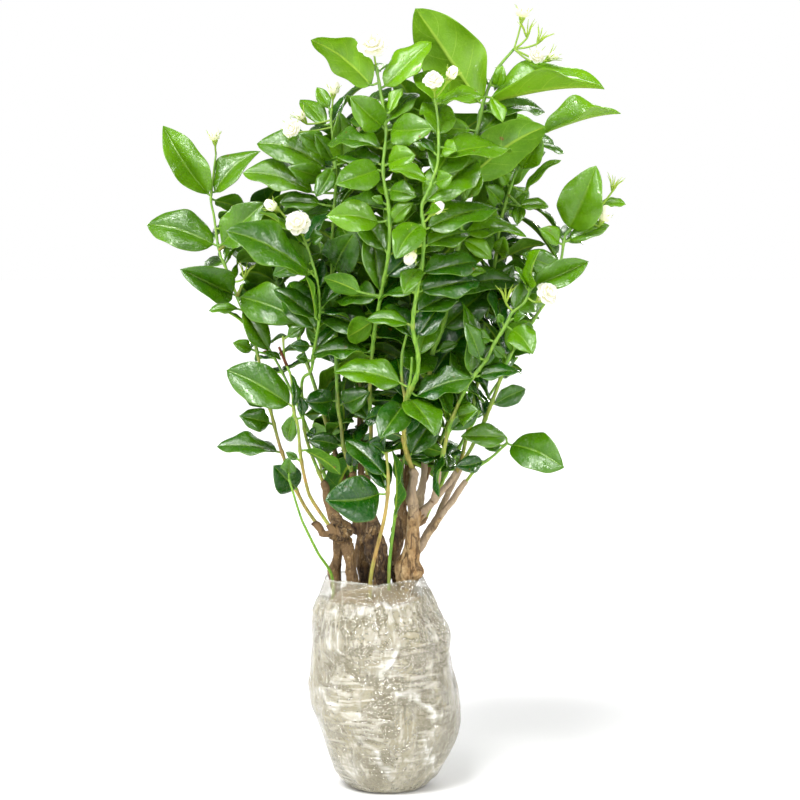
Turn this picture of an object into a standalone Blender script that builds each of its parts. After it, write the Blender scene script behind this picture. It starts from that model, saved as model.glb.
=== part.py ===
"""A jasmine plant whose root ball is wrapped in clear stretch film.

Units are metres and +Z is up. The origin is on the flat foot under the root ball, +X is to the
right in the photograph and +Y goes away from the viewer. Stems, leaves and blooms are placed
where the photograph shows them, each with a depth of its own, and the side that the photograph
doesn't show is grown by a rule.
"""

import math
import random
from collections import namedtuple

import bmesh
import bpy
from mathutils import Matrix, Quaternion, Vector
from mathutils.bvhtree import BVHTree

MM = 0.001
SCRAP_FACES = 12              # a loose body of fewer faces is a sliver that a union left
TOUCH_GAP = 0.3 * MM          # clearance between pieces that rest on each other
SEAT_LENGTH = 5 * MM          # straight stretch of a twig below the shoot that it carries

# Where the photograph was taken from: a place (u, v) in it is in pixels of its 800 x 800 frame
PIXEL = 0.76 * MM             # what one pixel covers at the plant's middle
VIEW_PIXEL = (400, 400)
VIEW_POINT = Vector((6 * MM, 0, 297 * MM))
VIEW_DISTANCE = 1.5
VIEW_TILT = math.radians(4)
VIEW_FORWARD = Vector((0, math.cos(VIEW_TILT), -math.sin(VIEW_TILT)))
VIEW_UP = Vector((0, math.sin(VIEW_TILT), math.cos(VIEW_TILT)))
EYE = VIEW_POINT - VIEW_FORWARD * VIEW_DISTANCE

# Root ball and film: height, half width and middle in X of its outline, in mm
BALL_OUTLINE = ((0, 27, -4), (4, 33.5, -4), (16, 42.5, -3), (42, 52.5, -2.5), (62, 56.5, -4.5),
                (94, 54.6, -7.5), (118, 53.5, -8.6), (129, 50, -11), (140, 46, -13.7),
                (162, 38, -14.5))
BALL_SIDES = 20
BALL_DEPTH = 0.95             # depth of the ball over its width
SOIL_ROWS = 9                 # rows of the outline that the soil fills
FILM = 0.8 * MM
SOIL_GAP = 0.7 * MM           # between the soil and the crinkled film
SOIL_TOP = 139.5 * MM
SOIL_TOP_V = 607              # where the photograph shows the soil's top
HOLE_DEPTH = 16 * MM
CANE_TOP = SOIL_TOP + 40 * MM   # a stem that starts lower than this stands in the soil
TWIG_GIRTH = (1.5, 1.1)       # radii of a green twig, in mm

# Leaves
LEAF_THICKNESS = 0.95 * MM
STALK_WIDTH = 1.7 * MM
STALK_LENGTH = 4 * MM
LEAF_ASPECT = 0.6             # width over length of a leaf seen square on
LEAF_CLEARANCE = 0.4 * MM     # kept between the leaves of different shoots
BIG_LEAF = 28 * MM            # leaves at least this wide get a midrib fold
SMALL_LEAF = 12 * MM          # leaves narrower than this have one station
STATIONS = (0.26, 0.68)       # where a leaf's width is set along its length
SMALL_STATIONS = (0.42,)
OUTLINE_FILL = 1.1            # the few straight sides of a leaf bulge past its round outline
LEAF_FOLD = math.radians(10)  # how far each half of a blade is lifted from flat
DEEP_FOLD = math.radians(42)  # the same in a leaf that shows folded
LEAF_ROLL = math.radians(14)  # how far a leaf seen square on is rolled upward
MOST_ROLL = math.radians(68)
LEAF_ARCH = 0.09              # height of a leaf's arch over its length
ROOT_DEPTH = 0.35 * MM        # how far past its stem's middle a stalk is sunk

# Flowers
PETAL_THICKNESS = 0.9 * MM
PETALS = 5
TUBE_RADIUS = 1.2 * MM        # of a flower's tube
CALYX_LENGTH = 3.6 * MM
CALYX_RADIUS = 1.9 * MM
CALYX_AHEAD = 3               # mm that a calyx sits in front of its stem
PEDICEL_RADIUS = 0.75 * MM
PEDICEL_LENGTH = 6 * MM       # at least
SPENT_CLAWS = 3               # sepals left on a calyx without its flower
FACING = {"bud": 2, "open": 13, "double": 9, "spent": 2}   # mm that a flower leans forward

Shoot = namedtuple("Shoot", "name girth stem twigs leaves")
Leaf = namedtuple("Leaf", "root base tip normal width fold arch")
Placed = namedtuple("Placed", "owner low high tree")

# Each stem and twig is a list of (u, v, depth in mm). Each leaf is (u, v) of its blade's base,
# (u, v) of its tip, its width in pixels, and the side that shows: up, under or fold.
SHOOTS = (
    Shoot("shoot_crown", (2.0, 1.2), (
        (425, 448, 8), (431, 362, -20), (440, 335, -28), (450, 295, -36), (460, 235, -44),
        (466, 180, -46), (479, 124, -42), (484, 100, -40), (497, 70, -38), (514, 49, -36)), (
        ((460, 235, -44), (452, 218, -50)),),
        ((479, 102, 417, 8, 62, "under"), (489, 103, 604, 85, 30, "fold"),
         (468, 180, 543, 124, 48, "under"), (470, 130, 432, 132, 22, "up"),
         (492, 98, 503, 122, 14, "up"), (497, 86, 502, 66, 14, "up"),
         (466, 232, 527, 232, 20, "up"), (464, 240, 492, 258, 18, "up"),
         (452, 271, 486, 271, 13, "up"), (446, 316, 414, 283, 33, "up"),
         (445, 321, 413, 326, 12, "up"), (467, 204, 450, 216, 15, "up"),
         (467, 198, 482, 175, 16, "up"), (434, 352, 457, 343, 12, "up"))),
    Shoot("shoot_top_left", (1.9, 1.1), (
        (367, 474, 8), (371, 438, 0), (370, 391, -14), (374, 335, -34), (382, 290, -54),
        (389, 250, -68), (389, 210, -74), (383, 171, -72), (386, 130, -64), (380, 88, -56),
        (376, 66, -54)), (),
        ((371, 85, 313, 38, 35, "under"), (385, 86, 430, 40, 30, "up"),
         (384, 129, 351, 97, 34, "up"), (390, 112, 402, 88, 12, "up"),
         (388, 131, 430, 127, 34, "up"), (378, 170, 337, 183, 33, "up"),
         (386, 167, 415, 155, 28, "up"), (378, 222, 328, 215, 33, "up"),
         (381, 298, 372, 225, 36, "up"), (392, 226, 412, 203, 18, "up"),
         (390, 190, 415, 196, 24, "up"), (386, 205, 372, 197, 9, "up"),
         (380, 318, 345, 337, 26, "under"), (368, 352, 313, 352, 15, "up"),
         (360, 292, 324, 277, 22, "under"), (371, 462, 385, 436, 22, "up"))),
    Shoot("shoot_upper_left", (1.8, 1.0), (
        (352, 472, 4), (344, 449, 4), (341, 425, 3), (338, 406, 1), (336, 360, -4),
        (334, 310, -9), (332, 260, -13), (334, 215, -16), (336, 180, -16), (334, 150, -14),
        (331, 120, -12), (332, 108, -12)), (),
        ((325, 168, 258, 140, 35, "up"), (312, 192, 243, 172, 28, "up"),
         (322, 178, 290, 168, 22, "up"), (320, 204, 280, 200, 18, "up"),
         (339, 163, 315, 134, 19, "up"), (344, 163, 340, 112, 22, "up"),
         (325, 125, 300, 99, 20, "up"), (332, 112, 317, 87, 14, "up"),
         (340, 160, 334, 184, 18, "up"), (332, 170, 316, 196, 20, "up"),
         (326, 150, 300, 134, 22, "up"), (340, 225, 362, 258, 28, "up"),
         (328, 272, 352, 235, 40, "up"), (334, 318, 328, 284, 19, "up"),
         (340, 404, 368, 392, 26, "up"), (337, 402, 306, 402, 28, "up"),
         (343, 446, 308, 440, 20, "up"), (352, 466, 352, 447, 15, "up"))),
    Shoot("shoot_left_middle", (1.6, 0.9), (
        (323, 482, 8), (310, 450, 8), (304, 425, 4), (302, 382, -8), (311, 371, -14),
        (314, 350, -24), (319, 320, -36), (318, 285, -46), (310, 255, -50), (303, 236, -50)), (),
        ((317, 279, 278, 241, 30, "under"), (308, 272, 228, 229, 20, "up"),
         (307, 245, 262, 210, 28, "up"), (304, 240, 322, 236, 16, "up"),
         (306, 264, 272, 274, 20, "up"), (320, 322, 275, 287, 20, "up"),
         (316, 318, 306, 274, 22, "up"), (314, 345, 291, 345, 13, "up"),
         (312, 360, 297, 358, 11, "up"), (303, 430, 315, 435, 12, "up"),
         (303, 396, 326, 404, 18, "up"))),
    Shoot("shoot_left_outer", (1.7, 0.9), (
        (317, 524, 2), (304, 505, 3), (292, 480, 4), (283, 455, 5), (276, 432, 6),
        (261, 370, 10), (252, 332, 12), (237, 296, 13), (226, 268, 14), (219, 250, 15),
        (214, 216, 18), (211, 199, 19), (214, 170, 22), (216, 154, 23)), (
        ((237, 296, 13), (243, 284, 11)), ((219, 250, 15), (240, 234, 8), (256, 226, 4))),
        ((208, 194, 164, 125, 36, "fold"), (215, 192, 258, 149, 28, "up"),
         (217, 247, 147, 222, 38, "up"), (222, 244, 262, 203, 38, "up"),
         (235, 297, 184, 270, 34, "fold"), (243, 302, 269, 350, 22, "up"),
         (241, 297, 300, 318, 42, "up"), (238, 309, 209, 310, 10, "up"),
         (249, 326, 226, 311, 9, "up"), (256, 352, 234, 343, 14, "up"),
         (258, 351, 281, 359, 8, "up"), (270, 410, 238, 386, 16, "up"),
         (274, 428, 241, 416, 24, "up"), (282, 452, 217, 445, 16, "up"),
         (296, 488, 274, 466, 32, "up"))),
    Shoot("shoot_left_canes", (1.7, 0.9), (
        (328, 524, -12), (312, 500, -14), (307, 487, -16), (301, 458, -18), (298, 427, -20),
        (294, 411, -20), (291, 377, -18), (285, 361, -17), (283, 336, -14)), (
        ((287, 366, -17), (279, 347, -20)),),
        ((292, 407, 227, 369, 40, "up"), (294, 411, 286, 443, 14, "up"),
         (302, 417, 300, 396, 9, "up"), (294, 406, 291, 374, 8, "up"),
         (305, 450, 341, 474, 15, "under"), (283, 338, 304, 326, 12, "up"),
         (301, 462, 286, 452, 8, "up"))),
    Shoot("shoot_small_oval", (1.4, 1.0), (
        (332, 577, -10), (318, 553, -22), (306, 529, -28), (300, 515, -28), (289, 479, -28)), (),
        ((289, 478, 289, 458, 16, "up"),)),
    Shoot("shoot_yellow_cane", (1.8, 1.2), (
        (371, 576, -26), (384, 520, -32), (388, 490, -32), (388, 470, -30), (386, 452, -28)), (),
        ((379, 494, 326, 500, 48, "up"), (385, 455, 370, 444, 12, "up"))),
    Shoot("shoot_low_middle", (1.6, 1.1), (
        (389, 575, -14), (391, 548, -14), (396, 510, -16), (401, 480, -18), (403, 462, -6),
        (409, 444, -4)), (),
        ((395, 515, 393, 450, 12, "up"), (410, 440, 444, 452, 18, "under"),
         (409, 455, 428, 457, 8, "up"))),
    Shoot("shoot_middle", (2.2, 1.0), (
        (412, 468, -20), (408, 458, -23), (404, 441, -30), (405, 419, -40), (406, 401, -48),
        (417, 375, -58), (418, 355, -64), (413, 329, -70), (415, 303, -76), (422, 265, -82),
        (424, 232, -86), (422, 206, -88), (431, 184, -88), (438, 160, -86), (438, 124, -80),
        (435, 98, -76)), (
        ((406, 401, -48), (411, 375, -56), (412, 357, -60)),
        ((406, 401, -48), (402, 380, -50), (402, 355, -52), (408, 330, -54))),
        ((400, 383, 334, 370, 28, "up"), (403, 400, 381, 436, 34, "up"),
         (410, 400, 436, 434, 42, "up"), (417, 396, 472, 377, 25, "up"),
         (408, 324, 366, 318, 16, "up"), (430, 181, 390, 168, 15, "up"),
         (432, 183, 452, 176, 19, "up"), (424, 217, 438, 208, 12, "up"),
         (420, 225, 396, 256, 32, "up"), (421, 264, 404, 292, 22, "up"),
         (436, 146, 456, 150, 20, "up"))),
    Shoot("shoot_right_outer", (1.8, 1.0), (
        (457, 471, -6), (470, 450, -10), (483, 424, -14), (495, 394, -18), (508, 359, -22),
        (524, 334, -20), (541, 308, -14), (551, 290, -10), (558, 276, -8), (562, 255, -8),
        (566, 234, -8), (580, 224, -8), (588, 221, -8)), (
        ((588, 221, -8), (598, 206, 2), (607, 199, 4)),),
        ((566, 232, 595, 167, 46, "up"), (604, 204, 626, 203, 10, "up"),
         (562, 241, 609, 224, 22, "up"), (559, 243, 541, 229, 18, "up"),
         (509, 357, 529, 317, 26, "under"), (505, 358, 493, 346, 12, "up"),
         (494, 404, 526, 389, 21, "up"), (556, 268, 524, 254, 26, "up"))),
    Shoot("shoot_right_middle", (1.8, 1.0), (
        (439, 470, -28), (445, 445, -34), (451, 422, -38), (467, 386, -44), (486, 360, -48),
        (494, 344, -50), (506, 325, -52), (512, 313, -52), (524, 303, -52), (530, 291, -50)), (),
        ((470, 372, 464, 302, 20, "up"), (478, 370, 490, 345, 18, "up"),
         (495, 342, 468, 334, 15, "up"), (480, 358, 466, 322, 14, "up"),
         (455, 419, 478, 410, 26, "up"), (474, 377, 521, 371, 15, "up"),
         (442, 452, 436, 496, 13, "up"), (504, 326, 499, 314, 8, "up"),
         (509, 320, 525, 315, 12, "up"), (512, 330, 532, 352, 30, "up"),
         (533, 286, 589, 261, 27, "fold"), (529, 287, 538, 250, 32, "up"),
         (527, 289, 516, 266, 13, "up"))),
    Shoot("shoot_right_inner", (1.8, 1.0), (
        (461, 462, 14), (468, 430, 15), (478, 380, 13), (484, 330, 10), (489, 300, 8),
        (495, 262, 6), (500, 225, 5), (508, 195, 5), (517, 170, 6), (530, 148, 8),
        (542, 136, 10)), (
        ((508, 195, 5), (520, 206, 0)),),
        ((489, 303, 512, 266, 30, "up"), (487, 306, 472, 268, 26, "up"),
         (497, 263, 544, 241, 12, "under"), (497, 258, 503, 238, 20, "up"),
         (500, 216, 474, 206, 18, "up"), (505, 208, 486, 186, 20, "up"),
         (510, 190, 500, 172, 16, "up"), (519, 206, 517, 224, 14, "up"),
         (520, 206, 549, 205, 12, "up"), (525, 192, 559, 158, 7, "up"),
         (522, 168, 541, 139, 25, "up"), (544, 133, 620, 110, 20, "fold"),
         (540, 134, 513, 114, 13, "up"))),
    Shoot("shoot_low_right", (1.5, 1.0), (
        (467, 480, -8), (477, 468, -12), (493, 456, -14), (507, 443, -16)), (),
        ((506, 437, 461, 436, 16, "up"), (510, 442, 562, 466, 40, "up"),
         (505, 444, 485, 448, 10, "up"), (488, 460, 457, 466, 19, "up"))),
)

# Flowers: kind, the shoot that bears it, (u, v) of its calyx, (u, v) of its middle, pixels across
BLOOMS = (
    ("open", "shoot_top_left", (374, 52), (372, 42), 30),
    ("bud", "shoot_upper_left", (332, 101), (333, 90), 12),
    ("bud", "shoot_upper_left", (307, 124), (300, 115), 10),
    ("open", "shoot_upper_left", (298, 132), (289, 127), 20),
    ("bud", "shoot_upper_left", (351, 140), (355, 129), 11),
    ("bud", "shoot_left_outer", (216, 150), (215, 139), 12),
    ("double", "shoot_middle", (435, 92), (434, 80), 21),
    ("bud", "shoot_middle", (446, 84), (452, 73), 11),
    ("bud", "shoot_crown", (521, 24), (523, 12), 14),
    ("open", "shoot_crown", (532, 62), (538, 53), 17),
    ("bud", "shoot_crown", (544, 62), (553, 56), 9),
    ("bud", "shoot_left_middle", (281, 212), (272, 206), 11),
    ("open", "shoot_left_middle", (300, 227), (297, 221), 26),
    ("bud", "shoot_left_outer", (222, 250), (227, 239), 14),
    ("bud", "shoot_middle", (430, 222), (437, 215), 11),
    ("bud", "shoot_middle", (414, 243), (408, 235), 9),
    ("bud", "shoot_middle", (416, 246), (411, 256), 12),
    ("bud", "shoot_right_outer", (599, 226), (605, 214), 14),
    ("double", "shoot_right_middle", (536, 302), (547, 294), 26),
    ("bud", "shoot_right_inner", (492, 246), (485, 239), 9),
)

# Calyces that have dropped their flower: the shoot, (u, v) of the cup and (u, v) it points at
SPENT_CALYCES = (
    ("shoot_crown", (527, 38), (527, 24)), ("shoot_crown", (537, 44), (543, 34)),
    ("shoot_right_outer", (586, 213), (583, 195)), ("shoot_right_outer", (612, 192), (616, 178)),
    ("shoot_right_middle", (506, 303), (506, 286)), ("shoot_left_outer", (244, 279), (247, 262)),
    ("shoot_left_outer", (260, 222), (260, 208)),
)

# Trunks: name and branches. Each branch has the shoot that it carries, if any, and a list of
# (u, v, depth in mm, radius in mm). A place with no v is a foot that stands in the soil.
TRUNKS = (
    ("trunk_left", (
        ("shoot_left_middle", (
            (337, None, 2, 4.2), (335, 570, 0, 4.4), (338, 548, -4, 4.2), (343, 533, -6, 6.6),
            (338, 524, -2, 5.2), (332, 512, 4, 3.6), (326, 496, 7, 3.0))),
        ("shoot_left_outer", ((343, 537, -6, 5.2), (328, 534, 1, 3.2), (322, 534, 2, 2.8))),
        ("shoot_left_canes", ((343, 537, -8, 4.0), (338, 538, -12, 2.8))),
        (None, (
            (352, None, -6, 4.4), (352, 575, -8, 4.6), (350, 556, -9, 4.4), (345, 539, -7, 3.6))))),
    ("trunk_middle", (
        ("shoot_top_left", (
            (378, None, 2, 5.2), (380, 575, 0, 6.8), (376, 552, 0, 8.0), (374, 530, 2, 5.6),
            (370, 512, 4, 4.2), (366, 495, 7, 3.2))),
        ("shoot_upper_left", ((371, 512, 4, 3.6), (362, 497, 4, 3.0))))),
    ("trunk_right", (
        ("shoot_middle", (
            (408, None, -4, 5.6), (404, 585, -6, 7.0), (409, 570, -8, 9.0), (412, 550, -10, 6.0),
            (414, 524, -12, 5.6), (412, 505, -16, 4.0), (412, 488, -18, 3.5))),
        ("shoot_right_outer", (
            (414, 524, -12, 4.4), (424, 512, -10, 3.8), (436, 498, -8, 3.2), (446, 486, -7, 2.8))),
        ("shoot_low_right", (
            (409, 562, -8, 5.0), (422, 543, 2, 3.2), (440, 517, 4, 3.0), (454, 498, 0, 2.6))),
        ("shoot_right_middle", ((434, 502, -9, 3.0), (436, 488, -24, 2.8))),
        ("shoot_crown", ((413, 526, -10, 4.0), (420, 500, 4, 3.2), (424, 472, 8, 2.9))),
        ("shoot_right_inner", ((422, 543, 2, 3.2), (438, 516, 10, 2.9), (452, 484, 14, 2.7))))),
)

# The trunks at the back each fan out into twigs, and each twig carries one rule-grown shoot:
# foot in X and Y, then for each shoot its heading in degrees from +X, reach, height, and the
# height where its twig ends, all in mm
BACK_TRUNKS = (
    ("trunk_back_left", (-22, 20), (
        (96, 112, 470, 262), (124, 98, 420, 242), (152, 128, 440, 262), (110, 44, 512, 284),
        (140, 126, 336, 206))),
    ("trunk_back_right", (4, 19), (
        (22, 130, 408, 246), (44, 112, 468, 272), (72, 124, 404, 250), (50, 46, 518, 290),
        (36, 128, 326, 204))),
)
BACK_TRUNK_RADIUS = 4.6 * MM
BACK_TRUNK_BENDS = ((1, 0, 160), (-2, 2, 176), (0, 3, 190), (1, 4, 202))   # past the foot, in mm
BACK_TRUNK_GIRTH = (1, 1, 1.3, 1.0, 1.2, 0.9)   # of the radius, from the foot up
BACK_TWIG_GIRTH = (3.0, 2.4)
BACK_STEM_GIRTH = (1.9, 1.0)
BACK_STEM_POINTS = 6
BACK_NODE_SPACING = 45 * MM
BACK_LEAF_LENGTH = (44, 68)   # shortest and longest, in mm

# What the rule-grown leaves stay behind: the outline of the photograph's canopy, and the gaps
# in it through which the background shows, as (u, v, pixels from their middle)
CANOPY = ((270, 150), (330, 105), (380, 66), (440, 50), (500, 74), (562, 106), (572, 165),
          (592, 230), (562, 272), (536, 330), (520, 380), (475, 410), (462, 470), (330, 480),
          (310, 440), (325, 385), (302, 318), (262, 318), (238, 298), (200, 262), (205, 215),
          (236, 205))
CANOPY_GAPS = ((452, 335, 10), (448, 252, 8), (522, 297, 10), (300, 372, 30), (500, 392, 12),
               (545, 175, 12), (395, 444, 8), (455, 432, 13))

rng = random.Random(7)
placed = []


def new_collection(name):
    collection = bpy.data.collections.new(name)
    bpy.context.scene.collection.children.link(collection)
    return collection


def material(name, colour, roughness, metallic=0.0):
    """Principled material of one colour."""
    made = bpy.data.materials.new(name)
    made.use_nodes = True
    shader = made.node_tree.nodes["Principled BSDF"]
    shader.inputs["Base Color"].default_value = (*colour, 1)
    shader.inputs["Roughness"].default_value = roughness
    shader.inputs["Metallic"].default_value = metallic
    return made


def seen(u, v, depth):
    """The point that the photograph shows at (u, v), with Y = depth in mm."""
    ray = VIEW_FORWARD * VIEW_DISTANCE
    ray = ray + Vector((1, 0, 0)) * (u - VIEW_PIXEL[0]) * PIXEL
    ray = ray + VIEW_UP * (VIEW_PIXEL[1] - v) * PIXEL
    return EYE + ray * ((depth * MM - EYE.y) / ray.y)


def shown_at(point):
    """Where the photograph shows a point, the inverse of seen()."""
    away = point - EYE
    scale = VIEW_DISTANCE / away.dot(VIEW_FORWARD) / PIXEL
    return VIEW_PIXEL[0] + away.x * scale, VIEW_PIXEL[1] - away.dot(VIEW_UP) * scale


def add_object(name, mesh, collection):
    made = bpy.data.objects.new(name, mesh)
    collection.objects.link(made)
    return made


def mesh_from(name, points, faces):
    mesh = bpy.data.meshes.new(name)
    mesh.from_pydata(points, [], faces)
    mesh.update()
    return mesh


def evaluated_mesh(made):
    """The object's mesh with its modifiers or curve bevel applied."""
    depsgraph = bpy.context.evaluated_depsgraph_get()
    return bpy.data.meshes.new_from_object(made.evaluated_get(depsgraph))


def welded(mesh):
    """Join the points that a curve's caps or a turned profile's ends leave double."""
    grid = bmesh.new()
    grid.from_mesh(mesh)
    bmesh.ops.remove_doubles(grid, verts=grid.verts, dist=0.00001)
    grid.to_mesh(mesh)
    grid.free()
    return mesh


def tube(name, points, radii, bevel_resolution=0):
    """A closed tube along the points, as a mesh, from a bevelled curve."""
    curve = bpy.data.curves.new(name, "CURVE")
    curve.dimensions = "3D"
    curve.bevel_depth = 1.0
    curve.bevel_resolution = bevel_resolution
    curve.use_fill_caps = True
    spline = curve.splines.new("POLY")
    spline.points.add(len(points) - 1)
    for spot, point, radius in zip(spline.points, points, radii):
        spot.co = (*point, 1)
        spot.radius = radius
    made = add_object(name, curve, bpy.context.scene.collection)
    mesh = welded(evaluated_mesh(made))
    bpy.data.objects.remove(made)
    bpy.data.curves.remove(curve)
    return mesh


def turned(name, profile, sides):
    """A closed turned shape: the profile runs from the top of the axis down its outer side."""
    edges = [(i, i + 1) for i in range(len(profile) - 1)]
    mesh = bpy.data.meshes.new(name)
    mesh.from_pydata([(radius, 0, height) for radius, height in profile], edges, [])
    made = add_object(name, mesh, bpy.context.scene.collection)
    screw = made.modifiers.new("turn", "SCREW")
    screw.steps = sides
    screw.render_steps = sides
    screw.use_merge_vertices = True
    screw.merge_threshold = 0.00001
    solid = welded(evaluated_mesh(made))
    bpy.data.objects.remove(made)
    return solid


def is_closed(mesh):
    grid = bmesh.new()
    grid.from_mesh(mesh)
    closed = all(len(edge.link_faces) == 2 for edge in grid.edges)
    grid.free()
    return closed


def without_scraps(mesh):
    """Drop the slivers that a union can leave loose: bodies of fewer faces than any piece has."""
    grid = bmesh.new()
    grid.from_mesh(mesh)
    unseen = set(grid.faces)
    scraps = []
    while unseen:
        body, fresh = set(), {unseen.pop()}
        while fresh:
            face = fresh.pop()
            body.add(face)
            fresh |= {other for edge in face.edges for other in edge.link_faces} - body
        unseen -= body
        if len(body) < SCRAP_FACES:
            scraps += body
    bmesh.ops.delete(grid, geom=scraps, context="FACES")
    grid.to_mesh(mesh)
    grid.free()
    return mesh


def fuse(name, meshes, finish, collection):
    """One object made of the union of closed meshes."""
    made = add_object(name, meshes[0], collection)
    if len(meshes) > 1:
        repeats = new_collection(name + "_repeats")
        for mesh in meshes[1:]:
            add_object(name + "_repeat", mesh, repeats)
        join = made.modifiers.new("join", "BOOLEAN")
        join.operation = "UNION"
        join.operand_type = "COLLECTION"
        join.collection = repeats
        joined = evaluated_mesh(made)
        if not is_closed(joined):
            join.solver = "MANIFOLD"
            joined = evaluated_mesh(made)
        made.data = without_scraps(joined)
        made.modifiers.clear()
        for repeat in list(repeats.objects):
            bpy.data.objects.remove(repeat)
        bpy.data.collections.remove(repeats)
    made.data.materials.clear()
    made.data.materials.append(finish)
    return made


def place(owner, points, faces):
    """Remember a solid, so that later leaves keep clear of it."""
    low = [min(point[axis] for point in points) for axis in range(3)]
    high = [max(point[axis] for point in points) for axis in range(3)]
    placed.append(Placed(owner, low, high, BVHTree.FromPolygons(points, faces)))


def place_mesh(owner, mesh):
    points = [vertex.co.copy() for vertex in mesh.vertices]
    place(owner, points, [tuple(face.vertices) for face in mesh.polygons])


def touches(points, faces, skip):
    """The owners of placed solids that these faces cross, leaving out what skip names."""
    low = [min(point[axis] for point in points) for axis in range(3)]
    high = [max(point[axis] for point in points) for axis in range(3)]
    tree = None
    crossed = set()
    for other in placed:
        if other.owner in skip or other.owner in crossed:
            continue
        if any(other.low[a] > high[a] or other.high[a] < low[a] for a in range(3)):
            continue
        tree = tree or BVHTree.FromPolygons(points, faces)
        if tree.overlap(other.tree):
            crossed.add(other.owner)
    return crossed


def outline(s):
    """Half width of a leaf along its length, from 0 at the base to 0 at the tip, at most 1."""
    return math.sin(math.pi * s ** 0.85) ** 0.75


def blade_rows(leaf, grow):
    """Rows of points across a leaf's blade: its base, its stations and its tip."""
    along = (leaf.tip - leaf.base).normalized()
    normal = (leaf.normal - along * leaf.normal.dot(along)).normalized()
    side = along.cross(normal)
    length = (leaf.tip - leaf.base).length
    tip = leaf.tip + along * grow
    crest = (leaf.base + tip) / 2 + normal * leaf.arch * length
    rows = [[leaf.base - side * STALK_WIDTH / 2, leaf.base + side * STALK_WIDTH / 2]]
    for s in STATIONS if leaf.width > SMALL_LEAF else SMALL_STATIONS:
        rib = leaf.base * (1 - s) ** 2 + crest * 2 * s * (1 - s) + tip * s ** 2
        half = leaf.width / 2 * outline(s) * OUTLINE_FILL + grow
        edge = side * half * math.cos(leaf.fold)
        lift = normal * half * math.sin(leaf.fold)
        if leaf.width > BIG_LEAF:
            rows.append([rib - edge + lift, rib, rib + edge + lift])
        else:
            rows.append([rib - edge, rib + edge])
    rows.append([tip])
    return rows


def zipped(near, far):
    """Triangles between two rows of point numbers that have one, two or three points each."""
    if len(far) == 1:
        return [(near[i], near[i + 1], far[0]) for i in range(len(near) - 1)]
    if len(near) < len(far):
        return [(near[0], far[1], far[0]), (near[0], near[1], far[1]), (near[1], far[2], far[1])]
    faces = []
    for i in range(len(near) - 1):
        faces += [(near[i], near[i + 1], far[i + 1]), (near[i], far[i + 1], far[i])]
    return faces


def thick_sheet(rows, thickness):
    """Points and triangles of a closed sheet, split alike on both faces."""
    sheet = bmesh.new()
    numbers = []
    for row in rows:
        numbers.append([len(sheet.verts) + i for i in range(len(row))])
        for point in row:
            sheet.verts.new(point)
    sheet.verts.ensure_lookup_table()
    triangles = []
    for near, far in zip(numbers, numbers[1:]):
        triangles += zipped(near, far)
    for triangle in triangles:
        sheet.faces.new([sheet.verts[i] for i in triangle])
    sheet.normal_update()
    half = thickness / 2
    count = len(sheet.verts)
    points = [vertex.co + vertex.normal * half for vertex in sheet.verts]
    points += [vertex.co - vertex.normal * half for vertex in sheet.verts]
    faces = list(triangles)
    faces += [(c + count, b + count, a + count) for a, b, c in triangles]
    directed = {(t[i], t[(i + 1) % 3]) for t in triangles for i in range(3)}
    for a, b in sorted(directed):
        if (b, a) not in directed:
            faces += [(b, a, a + count), (b, a + count, b + count)]
    sheet.free()
    return points, faces


def add_stalk(leaf, points, faces):
    """Draw the end of a blade back to its stem as a beam with four flat sides."""
    count = len(points)
    left, right, left_under, right_under = 0, 1, count // 2, count // 2 + 1
    ends = {(right, left, left_under), (right, left_under, right_under)}
    kept = [face for face in faces if face not in ends]
    back = leaf.root - leaf.base
    shift = back + back.normalized() * ROOT_DEPTH
    drawn = [points[i] + shift for i in (left, right, right_under, left_under)]
    a, b, c, d = range(count, count + 4)
    kept += [(a, b, right, left), (b, c, right_under, right), (c, d, left_under, right_under),
             (d, a, left, left_under), (a, d, c), (a, c, b)]
    return points + drawn, kept


def leaf_solid(leaf, grow=0.0, stalk=True):
    """Closed leaf, grown all round by a clearance, with or without its stalk."""
    points, faces = thick_sheet(blade_rows(leaf, grow), LEAF_THICKNESS + 2 * grow)
    return add_stalk(leaf, points, faces) if stalk else (points, faces)


def nearest_on(route, target):
    """The point of a stem that the photograph shows nearest to a place in it."""
    best = None
    for start, end in zip(route, route[1:]):
        for step in range(9):
            point = start.lerp(end, step / 8)
            u, v = shown_at(point)
            distance = math.hypot(u - target[0], v - target[1])
            if best is None or distance < best[0]:
                best = (distance, point)
    return best[1]


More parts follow.
